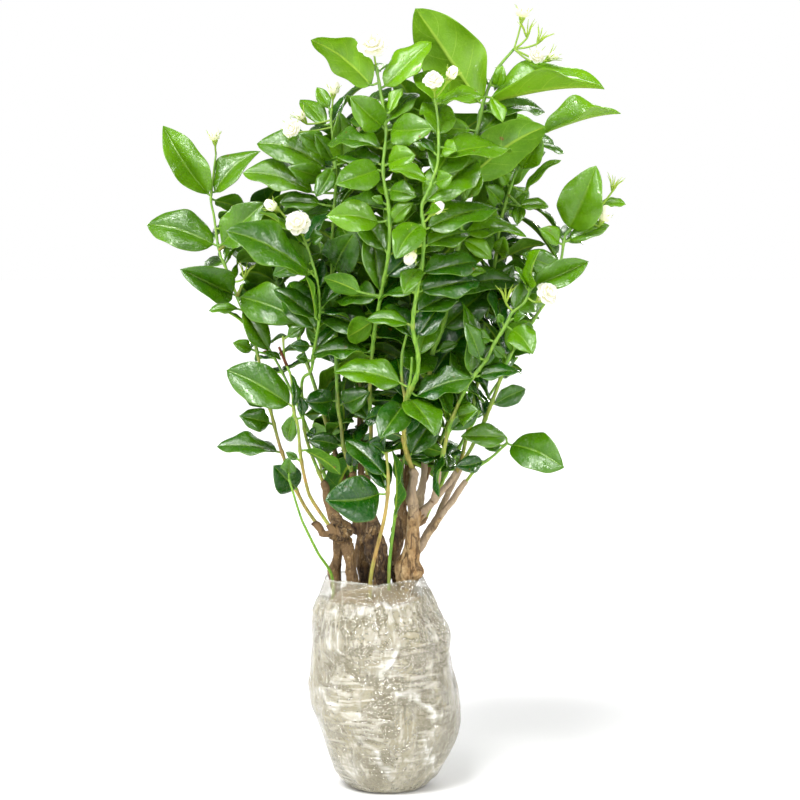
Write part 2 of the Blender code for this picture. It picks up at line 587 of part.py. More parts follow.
def read_leaf(row, route, shift, reach_more, roll_more, scale):
    """A leaf from its row of SHOOTS: a leaf that looks too short for its width points at the
    viewer, and one that looks too narrow is rolled, its upper face turned upward."""
    base_u, base_v, tip_u, tip_v, width, side = row
    root = nearest_on(route, (base_u, base_v))
    depth = root.y / MM + shift
    base = seen(base_u, base_v, depth)
    flat_tip = seen(tip_u, tip_v, depth)
    ahead = (base - root).dot(flat_tip - base)
    if (base - root).length < STALK_LENGTH * 0.6 or ahead < 0:
        base = root + (flat_tip - root).normalized() * STALK_LENGTH
    length = (flat_tip - base).length
    width = width * PIXEL * (base - EYE).length / VIEW_DISTANCE
    fold = LEAF_FOLD
    if side == "fold":
        fold = DEEP_FOLD
        width /= math.cos(fold)
    reach = 0.0
    roll = LEAF_ROLL
    if width > LEAF_ASPECT * length:
        reach = -math.sqrt(min(width / LEAF_ASPECT, 1.32 * length) ** 2 - length ** 2)
    else:
        roll = min(math.acos(width / (LEAF_ASPECT * length)), MOST_ROLL)
        width /= math.cos(roll)
    if side == "under":
        roll = math.pi - roll
    roll += roll_more
    tip = seen(tip_u, tip_v, depth + reach / MM + reach_more)
    tip = base + (tip - base) * scale
    along = (tip - base).normalized()
    facing = Vector((0, -1, 0)) + along * along.y
    facing.normalize()
    across = facing.cross(along)
    if across.z < 0:
        across = -across
    normal = facing * math.cos(roll) + across * math.sin(roll)
    return Leaf(root, base, tip, normal, width * scale, fold, LEAF_ARCH)


def leaf_tries():
    """Ways to shift a leaf until it is clear: base and tip depth in mm, roll and size."""
    for scale in (1.0, 0.86, 0.72, 0.58):
        for shift in (0, -8, 8, -15):
            for reach in (0, -9, 9, -18, 18, -30, 30):
                for roll in (0, 18, -18, 36, 54):
                    yield shift, reach, math.radians(roll), scale


def settle(owner, makers, may_cross):
    """The first leaf whose blade crosses nothing and whose stalk stays in its own shoot, or else,
    where a leaf may cross its own shoot, the first that crosses nothing more."""
    fallback = None
    for maker in makers:
        leaf = maker()
        if leaf is None:
            continue
        whole = leaf_solid(leaf, LEAF_CLEARANCE)
        if not touches(*whole, (owner + ".stem",)) <= {owner + ".leaf"}:
            continue
        if not touches(*leaf_solid(leaf, LEAF_CLEARANCE, False), ()):
            return leaf
        if may_cross and fallback is None:
            fallback = leaf
    return fallback


def grow_leaves(owner, leaf_makers, meshes, may_cross):
    """Settle each leaf of a shoot in turn and add its solid. One with no clear place is left out."""
    for makers in leaf_makers:
        leaf = settle(owner, makers, may_cross)
        if leaf:
            points, faces = leaf_solid(leaf)
            place(owner + ".leaf", points, faces)
            meshes.append(mesh_from(owner + "_leaf", points, faces))


def tapered(girth, count):
    """Radii that fall evenly from the first to the second of girth, in mm."""
    first, last = girth
    return [(first + (last - first) * i / (count - 1)) * MM for i in range(count)]


def aimed(start, end):
    """Turn from +Z to the direction that goes from start to end."""
    return (end - start).to_track_quat("Z", "Y")


def moved(mesh, spot, turn):
    mesh.transform(Matrix.Translation(spot) @ turn.to_matrix().to_4x4())
    return mesh


def calyx(owner, route, kind, cup, towards):
    """Flower stalk that widens into a calyx cup; returns its meshes, seat and turn."""
    root = nearest_on(route, cup)
    depth = root.y / MM - CALYX_AHEAD
    seat = seen(*cup, depth)
    turn = aimed(seat, seen(*towards, depth - FACING[kind]))
    upward = turn @ Vector((0, 0, 1))
    if (seat - root).length < PEDICEL_LENGTH:
        seat = root + upward * PEDICEL_LENGTH
    sunk = root - (seat - root).normalized() * ROOT_DEPTH
    mouth = seat + upward * CALYX_LENGTH
    meshes = [tube("calyx", (sunk, seat, mouth), (PEDICEL_RADIUS, PEDICEL_RADIUS, CALYX_RADIUS))]
    if kind == "spent":
        for i in range(SPENT_CLAWS):
            spin = Quaternion((0, 0, 1), 2 * math.pi * (i + 0.3) / SPENT_CLAWS)
            foot = seat + turn @ (spin @ Vector((0.8 * MM, 0, 2.8 * MM)))
            point = seat + turn @ (spin @ Vector((5.0 * MM, 0, 11 * MM)))
            meshes.append(tube("claw", (foot, point), (0.7 * MM, 0.35 * MM)))
    for mesh in meshes:
        place_mesh(owner + ".stem", mesh)
    return meshes, seat + upward * (CALYX_LENGTH + TOUCH_GAP), turn


def bloom_rings(kind, radius, throat):
    """Rings of an open bloom: its tube, the underside and top of its petals, and its heart."""
    notch = 0.62 if kind == "double" else 0.42
    lobes = []
    for i in range(3 * PETALS):
        angle = 2 * math.pi * i / (3 * PETALS)
        lobes.append((angle, notch if i % 3 == 0 else 1.0))
    droop = -0.5 * MM
    levels = [(TUBE_RADIUS, 0, 0), (TUBE_RADIUS * 1.2, throat - MM, 0),
              (radius, throat + radius * 0.3 + droop, 1),
              (radius, throat + radius * 0.3 + droop + PETAL_THICKNESS, 1),
              (radius * 0.3, throat + 1.2 * MM, 0)]
    if kind == "double":
        levels += [(radius * 0.6, throat + radius * 0.62, 0.4),
                   (radius * 0.4, throat + radius * 0.95, 0)]
    rings = []
    for reach, height, cut in levels:
        rings.append([Vector((math.cos(angle), math.sin(angle), 0)) * reach * (1 - cut * (1 - lobe))
                      + Vector((0, 0, height)) for angle, lobe in lobes])
    return rings


def bloom_mesh(kind, size, length):
    """A bud, an open bloom or a double bloom, standing on its seat."""
    radius = size / 2
    if kind != "bud":
        return lofted(kind, bloom_rings(kind, radius, max(length, 3 * MM)))
    waist = max(length - radius * 1.25, 1.5 * MM)
    profile = ((0, waist + radius * 2.4), (radius * 0.7, waist + radius * 1.9),
               (radius, waist + radius), (TUBE_RADIUS, waist), (TUBE_RADIUS, 0), (0, 0))
    return turned("bud", profile, 6)


def stem_in_soil(foot, top):
    """The two points of an upright stem that stands in the soil, up to a height."""
    return [Vector((foot.x, foot.y, SOIL_TOP - HOLE_DEPTH + TOUCH_GAP)),
            Vector((foot.x, foot.y, top))]


def twig_end(route):
    """The last two points of a twig, in line with the shoot that it carries."""
    along = (route[1] - route[0]).normalized()
    end = route[0] - along * TOUCH_GAP
    return [end - along * SEAT_LENGTH, end]


def ball_lattice(inset, rows):
    """Rings of the film's surface, moved inward by inset: its crinkles stay parallel."""
    rings = []
    for k in range(rows):
        height, half, middle = BALL_OUTLINE[k]
        below = BALL_OUTLINE[max(k - 1, 0)]
        above = BALL_OUTLINE[min(k + 1, len(BALL_OUTLINE) - 1)]
        slope = math.atan2(below[1] - above[1], above[0] - below[0])
        inward, upward = math.cos(slope), -math.sin(slope)
        if k == 0:
            inward, upward = 0.6, 1.0
        ring = []
        for i in range(BALL_SIDES):
            angle = 2 * math.pi * i / BALL_SIDES
            crinkle = 0.018 * math.sin(3 * angle + height / 21)
            crinkle += 0.014 * math.sin(8 * angle - height / 13)
            radius = half * MM * (1 + crinkle * min(height / 10, 1)) - inset * inward
            rim = 1.6 * MM * math.sin(5 * angle) if k == len(BALL_OUTLINE) - 1 else 0
            ring.append(Vector((middle * MM + radius * math.cos(angle),
                                radius * BALL_DEPTH * math.sin(angle),
                                height * MM + inset * upward + rim)))
        rings.append(ring)
    return rings


def lofted(name, rings, going_up=None):
    """A closed solid through rings of points, with flat ends. After the first going_up rings the
    quads are split the other way, so that a wall's two faces are split alike."""
    points = [point for ring in rings for point in ring]
    count = len(rings[0])
    faces = [tuple(reversed(range(count)))]
    for k in range(len(rings) - 1):
        for i in range(count):
            j = (i + 1) % count
            a, b = k * count + i, k * count + j
            c, d = b + count, a + count
            if going_up and k >= going_up:
                faces += [(a, b, d), (b, c, d)]
            else:
                faces += [(a, b, c), (a, c, d)]
    faces.append(tuple(range(len(points) - count, len(points))))
    return mesh_from(name, points, faces)


def build_film(collection, finish):
    """A cup of film: the outer rings going up, then the inner rings going down."""
    outer = ball_lattice(0, len(BALL_OUTLINE))
    inner = ball_lattice(FILM, len(BALL_OUTLINE))
    shell = lofted("film_wrap", outer + inner[::-1], len(outer))
    made = add_object("film_wrap", shell, collection)
    made.data.materials.append(finish)


def build_soil(collection, cutters, finish, stands):
    """The soil inside the film, with a plain hole for each stem that stands in it."""
    rings = ball_lattice(FILM + SOIL_GAP, SOIL_ROWS)
    for point in rings[-1]:
        point.z = SOIL_TOP
    made = add_object("soil_ball", lofted("soil_ball", rings), collection)
    made.data.materials.append(finish)
    for x, y, radius in stands:
        hole = bmesh.new()
        bmesh.ops.create_cone(hole, cap_ends=True, segments=8, radius1=radius, radius2=radius,
                              depth=2 * HOLE_DEPTH)
        mesh = bpy.data.meshes.new("hole")
        hole.to_mesh(mesh)
        hole.free()
        cutter = add_object("hole", mesh, cutters)
        cutter.location = (x, y, SOIL_TOP)
        cutter.hide_render = True
        cutter.display_type = "WIRE"
        cut = made.modifiers.new("hole", "BOOLEAN")
        cut.operation = "DIFFERENCE"
        cut.object = cutter


def hole_radius(radius):
    """Radius of an eight-sided hole that clears a round stem."""
    return (radius + TOUCH_GAP) / math.cos(math.pi / 8)


def build_trunk(name, branches, routes, collection, finish, stands):
    """A trunk with its branches, its feet upright in the soil."""
    meshes = []
    for carried, branch in branches:
        points, radii = [], []
        for u, v, depth, radius in branch:
            radius *= MM
            if v is None:
                foot = seen(u, SOIL_TOP_V, depth)
                points += stem_in_soil(foot, SOIL_TOP + 4 * MM)
                radii += [radius] * 2
                stands.append((foot.x, foot.y, hole_radius(radius)))
            else:
                points.append(seen(u, v, depth))
                radii.append(radius)
        if carried:
            points += twig_end(routes[carried])
            radii += [radius] * 2
        meshes.append(tube(name, points, radii, 1))
    for mesh in meshes:
        place_mesh(name, mesh)
    fuse(name, meshes, finish, collection)


def back_route(foot, heading, reach, height, twig_top):
    """Twig end and stem of a rule-grown shoot that arches outward from a back trunk."""
    angle = math.radians(heading)
    out = Vector((math.cos(angle), math.sin(angle), 0))
    start = Vector((*foot, 0)) * MM + out * reach * 0.22 * MM
    start.z = twig_top * MM
    end = Vector((-4 * MM, 0, 0)) + out * reach * MM
    end.z = height * MM
    middle = start.lerp(end, 0.5) + Vector((0, 0, (height - twig_top) * 0.16 * MM))
    points = []
    for i in range(BACK_STEM_POINTS):
        s = i / (BACK_STEM_POINTS - 1)
        points.append(start * (1 - s) ** 2 + middle * 2 * s * (1 - s) + end * s ** 2)
    return points


def build_back_trunk(name, foot, shoots, collection, finish, stands):
    """A back trunk that fans out into one twig for each rule-grown shoot."""
    foot_point = Vector((*foot, 0)) * MM
    points = stem_in_soil(foot_point, SOIL_TOP + 4 * MM)
    points += [foot_point + Vector((dx, dy, z)) * MM for dx, dy, z in BACK_TRUNK_BENDS]
    radii = [BACK_TRUNK_RADIUS * k for k in BACK_TRUNK_GIRTH]
    stands.append((foot_point.x, foot_point.y, hole_radius(BACK_TRUNK_RADIUS)))
    meshes = [tube(name, points, radii, 1)]
    for i, shoot in enumerate(shoots):
        fork = points[3].lerp(points[4], i / (len(shoots) - 1))
        seat = twig_end(back_route(foot, *shoot))
        twig = [fork, fork.lerp(seat[0], 0.6)] + seat
        meshes.append(tube(name, twig, tapered(BACK_TWIG_GIRTH, len(twig)), 0))
    for mesh in meshes:
        place_mesh(name, mesh)
    fuse(name, meshes, finish, collection)


def plan_shoot(shoot, route, stands):
    """Stem and twigs of a shoot of SHOOTS, as meshes."""
    points = list(route)
    radii = tapered(shoot.girth, len(points))
    if route[0].z < CANE_TOP:
        points = stem_in_soil(route[0], SOIL_TOP + 6 * MM) + points
        radii = [radii[0]] * 2 + radii
        stands.append((route[0].x, route[0].y, hole_radius(radii[0])))
    meshes = [tube(shoot.name, points, radii)]
    for twig in shoot.twigs:
        twig_points = [seen(*point) for point in twig]
        meshes.append(tube(shoot.name, twig_points, tapered(TWIG_GIRTH, len(twig_points))))
    for mesh in meshes:
        place_mesh(shoot.name + ".stem", mesh)
    return meshes


def inside_canopy(point):
    """True where the photograph's canopy hides a point."""
    u, v = shown_at(point)
    for gap_u, gap_v, size in CANOPY_GAPS:
        if math.hypot(u - gap_u, v - gap_v) < size:
            return False
    inside = False
    for (u1, v1), (u2, v2) in zip(CANOPY, CANOPY[1:] + CANOPY[:1]):
        if (v1 > v) != (v2 > v) and u < u1 + (v - v1) * (u2 - u1) / (v2 - v1):
            inside = not inside
    return inside


def rule_leaf(root, stem_way, heading, rise, length, aspect):
    """A leaf that leaves its stem at a heading round it, and rises and droops."""
    out = Quaternion(Vector((0, 0, 1)), heading) @ Vector((1, 0, 0))
    out = (out - stem_way * out.dot(stem_way) * 0.6).normalized()
    along = (out * math.cos(rise) + Vector((0, 0, 1)) * math.sin(rise)).normalized()
    base = root + along * STALK_LENGTH
    tip = base + along * length
    normal = stem_way + Vector((0, 0, 0.5))
    leaf = Leaf(root, base, tip, normal, length * aspect, math.radians(10), 0.1)
    side = along.cross(normal).normalized() * leaf.width * 0.5
    middle = base.lerp(tip, 0.5)
    if all(inside_canopy(point) for point in (tip, middle + side, middle - side)):
        return leaf
    return None


def rule_makers(root, way, heading, length, aspect):
    """The ways to try a rule-grown leaf."""
    for scale in (1.0, 0.84, 0.7):
        for turn in (0, 24, -24, 48, -48, 70, -70):
            for rise in (14, 38, -12, 60):
                yield (lambda s=scale, t=turn, r=rise: rule_leaf(
                    root, way, heading + math.radians(t), math.radians(r), length * s, aspect))


def rule_leaves(route, heading):
    """Pairs of leaves up a rule-grown stem, each pair turned a quarter from the last."""
    lengths = [(b - a).length for a, b in zip(route, route[1:])]
    total = sum(lengths)
    pairs = max(int(total / BACK_NODE_SPACING), 3)
    leaves = []
    for k in range(pairs):
        travel = total * (k + 0.75) / (pairs + 0.1)
        i = 0
        while i < len(lengths) - 1 and travel > lengths[i]:
            travel -= lengths[i]
            i += 1
        way = (route[i + 1] - route[i]).normalized()
        root = route[i] + way * min(travel, lengths[i])
        for half_turn in (0, math.pi):
            length = rng.uniform(*BACK_LEAF_LENGTH) * MM * (1.05 - 0.25 * k / pairs)
            angle = math.radians(heading) + half_turn + (k % 2) * math.pi / 2
            angle += rng.uniform(-0.3, 0.3)
            aspect = rng.uniform(0.54, 0.64)
            leaves.append(list(rule_makers(root, way, angle, length, aspect)))
    return leaves


def photo_leaves(shoot, route):
    """The ways to try each leaf that the photograph shows on a shoot."""
    return [[(lambda r=row, t=tries: read_leaf(r, route, *t)) for tries in leaf_tries()]
            for row in shoot.leaves]


def build():
    for old in list(bpy.data.objects):
        bpy.data.objects.remove(old)
    plant = new_collection("jasmine_plant")
    cutters = new_collection("cutters")
    film = material("stretch_film", (0.82, 0.78, 0.70), 0.25)
    soil = material("soil", (0.16, 0.10, 0.06), 0.95)
    bark = material("bark", (0.42, 0.30, 0.19), 0.85)
    green = material("leaf_green", (0.10, 0.34, 0.02), 0.4)
    white = material("petal_white", (0.93, 0.92, 0.82), 0.6)

    stands = []
    routes, meshes = {}, {}
    for shoot in SHOOTS:
        routes[shoot.name] = [seen(*point) for point in shoot.stem]
    for name, branches in TRUNKS:
        build_trunk(name, branches, routes, plant, bark, stands)
    for name, foot, shoots in BACK_TRUNKS:
        build_back_trunk(name, foot, shoots, plant, bark, stands)

    for shoot in SHOOTS:
        meshes[shoot.name] = plan_shoot(shoot, routes[shoot.name], stands)
    for owner, cup, towards in SPENT_CALYCES:
        made, seat, turn = calyx(owner, routes[owner], "spent", cup, towards)
        meshes[owner] += made
    for number, (kind, owner, cup, middle, size) in enumerate(BLOOMS, 1):
        made, seat, turn = calyx(owner, routes[owner], kind, cup, middle)
        meshes[owner] += made
        length = math.hypot(middle[0] - cup[0], middle[1] - cup[1]) * PIXEL - CALYX_LENGTH
        bloom = moved(bloom_mesh(kind, size * PIXEL, length), seat, turn)
        name = f"bloom_{number:02d}"
        place_mesh(name, bloom)
        fuse(name, [bloom], white, plant)
    back = []
    for trunk, foot, shoots in BACK_TRUNKS:
        for number, shoot in enumerate(shoots, 1):
            name = f"{trunk.replace('trunk', 'shoot')}_{number}"
            route = back_route(foot, *shoot)
            mesh = tube(name, route, tapered(BACK_STEM_GIRTH, len(route)))
            place_mesh(name + ".stem", mesh)
            meshes[name] = [mesh]
            back.append((name, route, shoot[0]))

    for shoot in SHOOTS:
        makers = photo_leaves(shoot, routes[shoot.name])
        grow_leaves(shoot.name, makers, meshes[shoot.name], True)
    for name, route, heading in back:
        grow_leaves(name, rule_leaves(route, heading), meshes[name], False)
    for name, parts in meshes.items():
        fuse(name, parts, green, plant)

    build_film(plant, film)
    build_soil(plant, cutters, soil, stands)


build()
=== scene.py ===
"""The looks of a jasmine plant with a film-wrapped root ball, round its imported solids.

Units are metres and +Z is up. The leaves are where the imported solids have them: each is found in
its shoot's solid and made again as a thin, waved blade with its own stalk. More leaves of the same
kind are grown behind them by a rule, and the stems, wood, soil, film and flowers are made finer.
"""

import math
import random
from collections import namedtuple

import bpy
import numpy as np
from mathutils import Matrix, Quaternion, Vector, noise
from mathutils.bvhtree import BVHTree
from mathutils.kdtree import KDTree


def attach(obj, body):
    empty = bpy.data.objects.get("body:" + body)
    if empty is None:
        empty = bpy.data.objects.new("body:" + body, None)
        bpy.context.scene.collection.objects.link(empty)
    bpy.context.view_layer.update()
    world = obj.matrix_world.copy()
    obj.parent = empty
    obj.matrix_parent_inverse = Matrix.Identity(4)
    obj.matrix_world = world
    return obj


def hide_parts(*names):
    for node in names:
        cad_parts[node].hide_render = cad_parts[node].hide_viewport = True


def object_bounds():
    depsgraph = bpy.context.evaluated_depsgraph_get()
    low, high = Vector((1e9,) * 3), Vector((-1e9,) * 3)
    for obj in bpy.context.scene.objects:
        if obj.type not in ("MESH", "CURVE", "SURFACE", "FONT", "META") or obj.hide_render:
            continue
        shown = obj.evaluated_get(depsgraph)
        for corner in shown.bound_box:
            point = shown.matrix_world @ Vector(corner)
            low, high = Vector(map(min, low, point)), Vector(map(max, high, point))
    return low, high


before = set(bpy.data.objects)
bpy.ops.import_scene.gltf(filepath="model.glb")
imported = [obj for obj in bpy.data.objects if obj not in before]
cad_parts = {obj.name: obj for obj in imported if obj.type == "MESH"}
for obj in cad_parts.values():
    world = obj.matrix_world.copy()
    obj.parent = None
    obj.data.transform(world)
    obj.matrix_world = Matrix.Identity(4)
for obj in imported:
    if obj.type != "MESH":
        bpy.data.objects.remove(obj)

cad_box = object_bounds()
MM = 0.001

# Where the photograph was taken from: a place (u, v) in it is in pixels of its 800 x 800 frame
PIXEL = 0.76 * MM             # what one pixel covers at the plant's middle
VIEW_PIXEL = (400, 400)
VIEW_POINT = Vector((6 * MM, 0, 297 * MM))
VIEW_DISTANCE = 1.5
VIEW_TILT = math.radians(4)
VIEW_FORWARD = Vector((0, math.cos(VIEW_TILT), -math.sin(VIEW_TILT)))
VIEW_UP = Vector((0, math.sin(VIEW_TILT), math.cos(VIEW_TILT)))
EYE = VIEW_POINT - VIEW_FORWARD * VIEW_DISTANCE

Shoot = namedtuple("Shoot", "name girth stem twigs leaves")
Leaf = namedtuple("Leaf", "root base tip normal width fold arch")

# Each stem and twig is a list of (u, v, depth in mm). Each leaf is (u, v) of its blade's base,
# (u, v) of its tip, its width in pixels, and under or fold where it doesn't show its upper
# face flat.
SHOOTS = (
    Shoot("shoot_crown", (2.0, 1.2), (
        (425, 448, 8), (431, 362, -20), (440, 335, -28), (450, 295, -36), (460, 235, -44),
        (466, 180, -46), (479, 124, -42), (484, 100, -40), (497, 70, -38), (514, 49, -36)), (
        ((460, 235, -44), (452, 218, -50)),), (
        (479, 102, 417, 8, 62, "under"), (489, 103, 604, 85, 30, "fold"),
        (468, 180, 543, 124, 48, "under"), (470, 130, 432, 132, 22), (492, 98, 503, 122, 14),
        (497, 86, 502, 66, 14), (466, 232, 527, 232, 20), (464, 240, 492, 258, 18),
        (452, 271, 486, 271, 13), (446, 316, 414, 283, 33), (445, 321, 413, 326, 12),
        (467, 204, 450, 216, 15), (467, 198, 482, 175, 16), (434, 352, 457, 343, 12))),
    Shoot("shoot_top_left", (1.9, 1.1), (
        (367, 474, 8), (371, 438, 0), (370, 391, -14), (374, 335, -34), (382, 290, -54),
        (389, 250, -68), (389, 210, -74), (383, 171, -72), (386, 130, -64), (380, 88, -56),
        (376, 66, -54)), (), (
        (371, 85, 313, 38, 35, "under"), (385, 86, 430, 40, 30), (384, 129, 351, 97, 34),
        (390, 112, 402, 88, 12), (388, 131, 430, 127, 34), (378, 170, 337, 183, 33),
        (386, 167, 415, 155, 28), (378, 222, 328, 215, 33), (381, 298, 372, 225, 36),
        (392, 226, 412, 203, 18), (390, 190, 415, 196, 24), (386, 205, 372, 197, 9),
        (380, 318, 345, 337, 26, "under"), (368, 352, 313, 352, 15),
        (360, 292, 324, 277, 22, "under"), (371, 462, 385, 436, 22))),
    Shoot("shoot_upper_left", (1.8, 1.0), (
        (352, 472, 4), (344, 449, 4), (341, 425, 3), (338, 406, 1), (336, 360, -4), (334, 310, -9),
        (332, 260, -13), (334, 215, -16), (336, 180, -16), (334, 150, -14), (331, 120, -12),
        (332, 108, -12)), (), (
        (325, 168, 258, 140, 35), (312, 192, 243, 172, 28), (322, 178, 290, 168, 22),
        (320, 204, 280, 200, 18), (339, 163, 315, 134, 19), (344, 163, 340, 112, 22),
        (325, 125, 300, 99, 20), (332, 112, 317, 87, 14), (340, 160, 334, 184, 18),
        (332, 170, 316, 196, 20), (326, 150, 300, 134, 22), (340, 225, 362, 258, 28),
        (328, 272, 352, 235, 40), (334, 318, 328, 284, 19), (340, 404, 368, 392, 26),
        (337, 402, 306, 402, 28), (343, 446, 308, 440, 20), (352, 466, 352, 447, 15))),
    Shoot("shoot_left_middle", (1.6, 0.9), (
        (323, 482, 8), (310, 450, 8), (304, 425, 4), (302, 382, -8), (311, 371, -14),
        (314, 350, -24), (319, 320, -36), (318, 285, -46), (310, 255, -50), (303, 236, -50)), (), (
        (317, 279, 278, 241, 30, "under"), (308, 272, 228, 229, 20), (307, 245, 262, 210, 28),
        (304, 240, 322, 236, 16), (306, 264, 272, 274, 20), (320, 322, 275, 287, 20),
        (316, 318, 306, 274, 22), (314, 345, 291, 345, 13), (312, 360, 297, 358, 11),
        (303, 430, 315, 435, 12), (303, 396, 326, 404, 18))),
    Shoot("shoot_left_outer", (1.7, 0.9), (
        (317, 524, 2), (304, 505, 3), (292, 480, 4), (283, 455, 5), (276, 432, 6), (261, 370, 10),
        (252, 332, 12), (237, 296, 13), (226, 268, 14), (219, 250, 15), (214, 216, 18),
        (211, 199, 19), (214, 170, 22), (216, 154, 23)), (
        ((237, 296, 13), (243, 284, 11)), ((219, 250, 15), (240, 234, 8), (256, 226, 4))), (
        (208, 194, 164, 125, 36, "fold"), (215, 192, 258, 149, 28), (217, 247, 147, 222, 38),
        (222, 244, 262, 203, 38), (235, 297, 184, 270, 34, "fold"), (243, 302, 269, 350, 22),
        (241, 297, 300, 318, 42), (238, 309, 209, 310, 10), (249, 326, 226, 311, 9),
        (256, 352, 234, 343, 14), (258, 351, 281, 359, 8), (270, 410, 238, 386, 16),
        (274, 428, 241, 416, 24), (282, 452, 217, 445, 16), (296, 488, 274, 466, 32))),
    Shoot("shoot_left_canes", (1.7, 0.9), (
        (328, 524, -12), (312, 500, -14), (307, 487, -16), (301, 458, -18), (298, 427, -20),
        (294, 411, -20), (291, 377, -18), (285, 361, -17), (283, 336, -14)), (
        ((287, 366, -17), (279, 347, -20)),), (
        (292, 407, 227, 369, 40), (294, 411, 286, 443, 14), (302, 417, 300, 396, 9),
        (294, 406, 291, 374, 8), (305, 450, 341, 474, 15, "under"), (283, 338, 304, 326, 12),
        (301, 462, 286, 452, 8))),
    Shoot("shoot_small_oval", (1.4, 1.0), (
        (332, 577, -10), (318, 553, -22), (306, 529, -28), (300, 515, -28), (289, 479, -28)), (), (
        (289, 478, 289, 458, 16),)),
    Shoot("shoot_yellow_cane", (1.8, 1.2), (
        (371, 576, -26), (384, 520, -32), (388, 490, -32), (388, 470, -30), (386, 452, -28)), (), (
        (379, 494, 326, 500, 48), (385, 455, 370, 444, 12))),
    Shoot("shoot_low_middle", (1.6, 1.1), (
        (389, 575, -14), (391, 548, -14), (396, 510, -16), (401, 480, -18), (403, 462, -6),
        (409, 444, -4)), (), (
        (395, 515, 393, 450, 12), (410, 440, 444, 452, 18, "under"),
        (409, 455, 428, 457, 8))),
    Shoot("shoot_middle", (2.2, 1.0), (
        (412, 468, -20), (408, 458, -23), (404, 441, -30), (405, 419, -40), (406, 401, -48),
        (417, 375, -58), (418, 355, -64), (413, 329, -70), (415, 303, -76), (422, 265, -82),
        (424, 232, -86), (422, 206, -88), (431, 184, -88), (438, 160, -86), (438, 124, -80),
        (435, 98, -76)), (
        ((406, 401, -48), (411, 375, -56), (412, 357, -60)),
        ((406, 401, -48), (402, 380, -50), (402, 355, -52), (408, 330, -54))), (
        (400, 383, 334, 370, 28), (403, 400, 381, 436, 34), (410, 400, 436, 434, 42),
        (417, 396, 472, 377, 25), (408, 324, 366, 318, 16), (430, 181, 390, 168, 15),
        (432, 183, 452, 176, 19), (424, 217, 438, 208, 12), (420, 225, 396, 256, 32),
        (421, 264, 404, 292, 22), (436, 146, 456, 150, 20))),
    Shoot("shoot_right_outer", (1.8, 1.0), (
        (457, 471, -6), (470, 450, -10), (483, 424, -14), (495, 394, -18), (508, 359, -22),
        (524, 334, -20), (541, 308, -14), (551, 290, -10), (558, 276, -8), (562, 255, -8),
        (566, 234, -8), (580, 224, -8), (588, 221, -8)), (
        ((588, 221, -8), (598, 206, 2), (607, 199, 4)),), (
        (566, 232, 595, 167, 46), (604, 204, 626, 203, 10), (562, 241, 609, 224, 22),
        (559, 243, 541, 229, 18), (509, 357, 529, 317, 26, "under"), (505, 358, 493, 346, 12),
        (494, 404, 526, 389, 21), (556, 268, 524, 254, 26))),
    Shoot("shoot_right_middle", (1.8, 1.0), (
        (439, 470, -28), (445, 445, -34), (451, 422, -38), (467, 386, -44), (486, 360, -48),
        (494, 344, -50), (506, 325, -52), (512, 313, -52), (524, 303, -52), (530, 291, -50)), (), (
        (470, 372, 464, 302, 20), (478, 370, 490, 345, 18), (495, 342, 468, 334, 15),
        (480, 358, 466, 322, 14), (455, 419, 478, 410, 26), (474, 377, 521, 371, 15),
        (442, 452, 436, 496, 13), (504, 326, 499, 314, 8), (509, 320, 525, 315, 12),
        (512, 330, 532, 352, 30), (533, 286, 589, 261, 27, "fold"), (529, 287, 538, 250, 32),
        (527, 289, 516, 266, 13))),
    Shoot("shoot_right_inner", (1.8, 1.0), (
        (461, 462, 14), (468, 430, 15), (478, 380, 13), (484, 330, 10), (489, 300, 8),
        (495, 262, 6), (500, 225, 5), (508, 195, 5), (517, 170, 6), (530, 148, 8),
        (542, 136, 10)), (
        ((508, 195, 5), (520, 206, 0)),), (
        (489, 303, 512, 266, 30), (487, 306, 472, 268, 26), (497, 263, 544, 241, 12, "under"),
        (497, 258, 503, 238, 20), (500, 216, 474, 206, 18), (505, 208, 486, 186, 20),
        (510, 190, 500, 172, 16), (519, 206, 517, 224, 14), (520, 206, 549, 205, 12),
        (525, 192, 559, 158, 7), (522, 168, 541, 139, 25), (544, 133, 620, 110, 20, "fold"),
        (540, 134, 513, 114, 13))),
    Shoot("shoot_low_right", (1.5, 1.0), (
        (467, 480, -8), (477, 468, -12), (493, 456, -14), (507, 443, -16)), (), (
        (506, 437, 461, 436, 16), (510, 442, 562, 466, 40), (505, 444, 485, 448, 10),
        (488, 460, 457, 466, 19))),
)

# Flowers: kind, the shoot that bears it, (u, v) of its calyx, (u, v) of its middle, pixels across
BLOOMS = (
    ("open", "shoot_top_left", (374, 52), (372, 42), 30),
    ("bud", "shoot_upper_left", (332, 101), (333, 90), 12),
    ("bud", "shoot_upper_left", (307, 124), (300, 115), 10),
    ("open", "shoot_upper_left", (298, 132), (289, 127), 20),
    ("bud", "shoot_upper_left", (351, 140), (355, 129), 11),
    ("bud", "shoot_left_outer", (216, 150), (215, 139), 12),
    ("double", "shoot_middle", (435, 92), (434, 80), 21),
    ("bud", "shoot_middle", (446, 84), (452, 73), 11),
    ("bud", "shoot_crown", (521, 24), (523, 12), 14),
    ("open", "shoot_crown", (532, 62), (538, 53), 17),
    ("bud", "shoot_crown", (544, 62), (553, 56), 9),
    ("bud", "shoot_left_middle", (281, 212), (272, 206), 11),
    ("open", "shoot_left_middle", (300, 227), (297, 221), 26),
    ("bud", "shoot_left_outer", (222, 250), (227, 239), 14),
    ("bud", "shoot_middle", (430, 222), (437, 215), 11),
    ("bud", "shoot_middle", (414, 243), (408, 235), 9),
    ("bud", "shoot_middle", (416, 246), (411, 256), 12),
    ("bud", "shoot_right_outer", (599, 226), (605, 214), 14),
    ("double", "shoot_right_middle", (536, 302), (547, 294), 26),
    ("bud", "shoot_right_inner", (492, 246), (485, 239), 9),
)

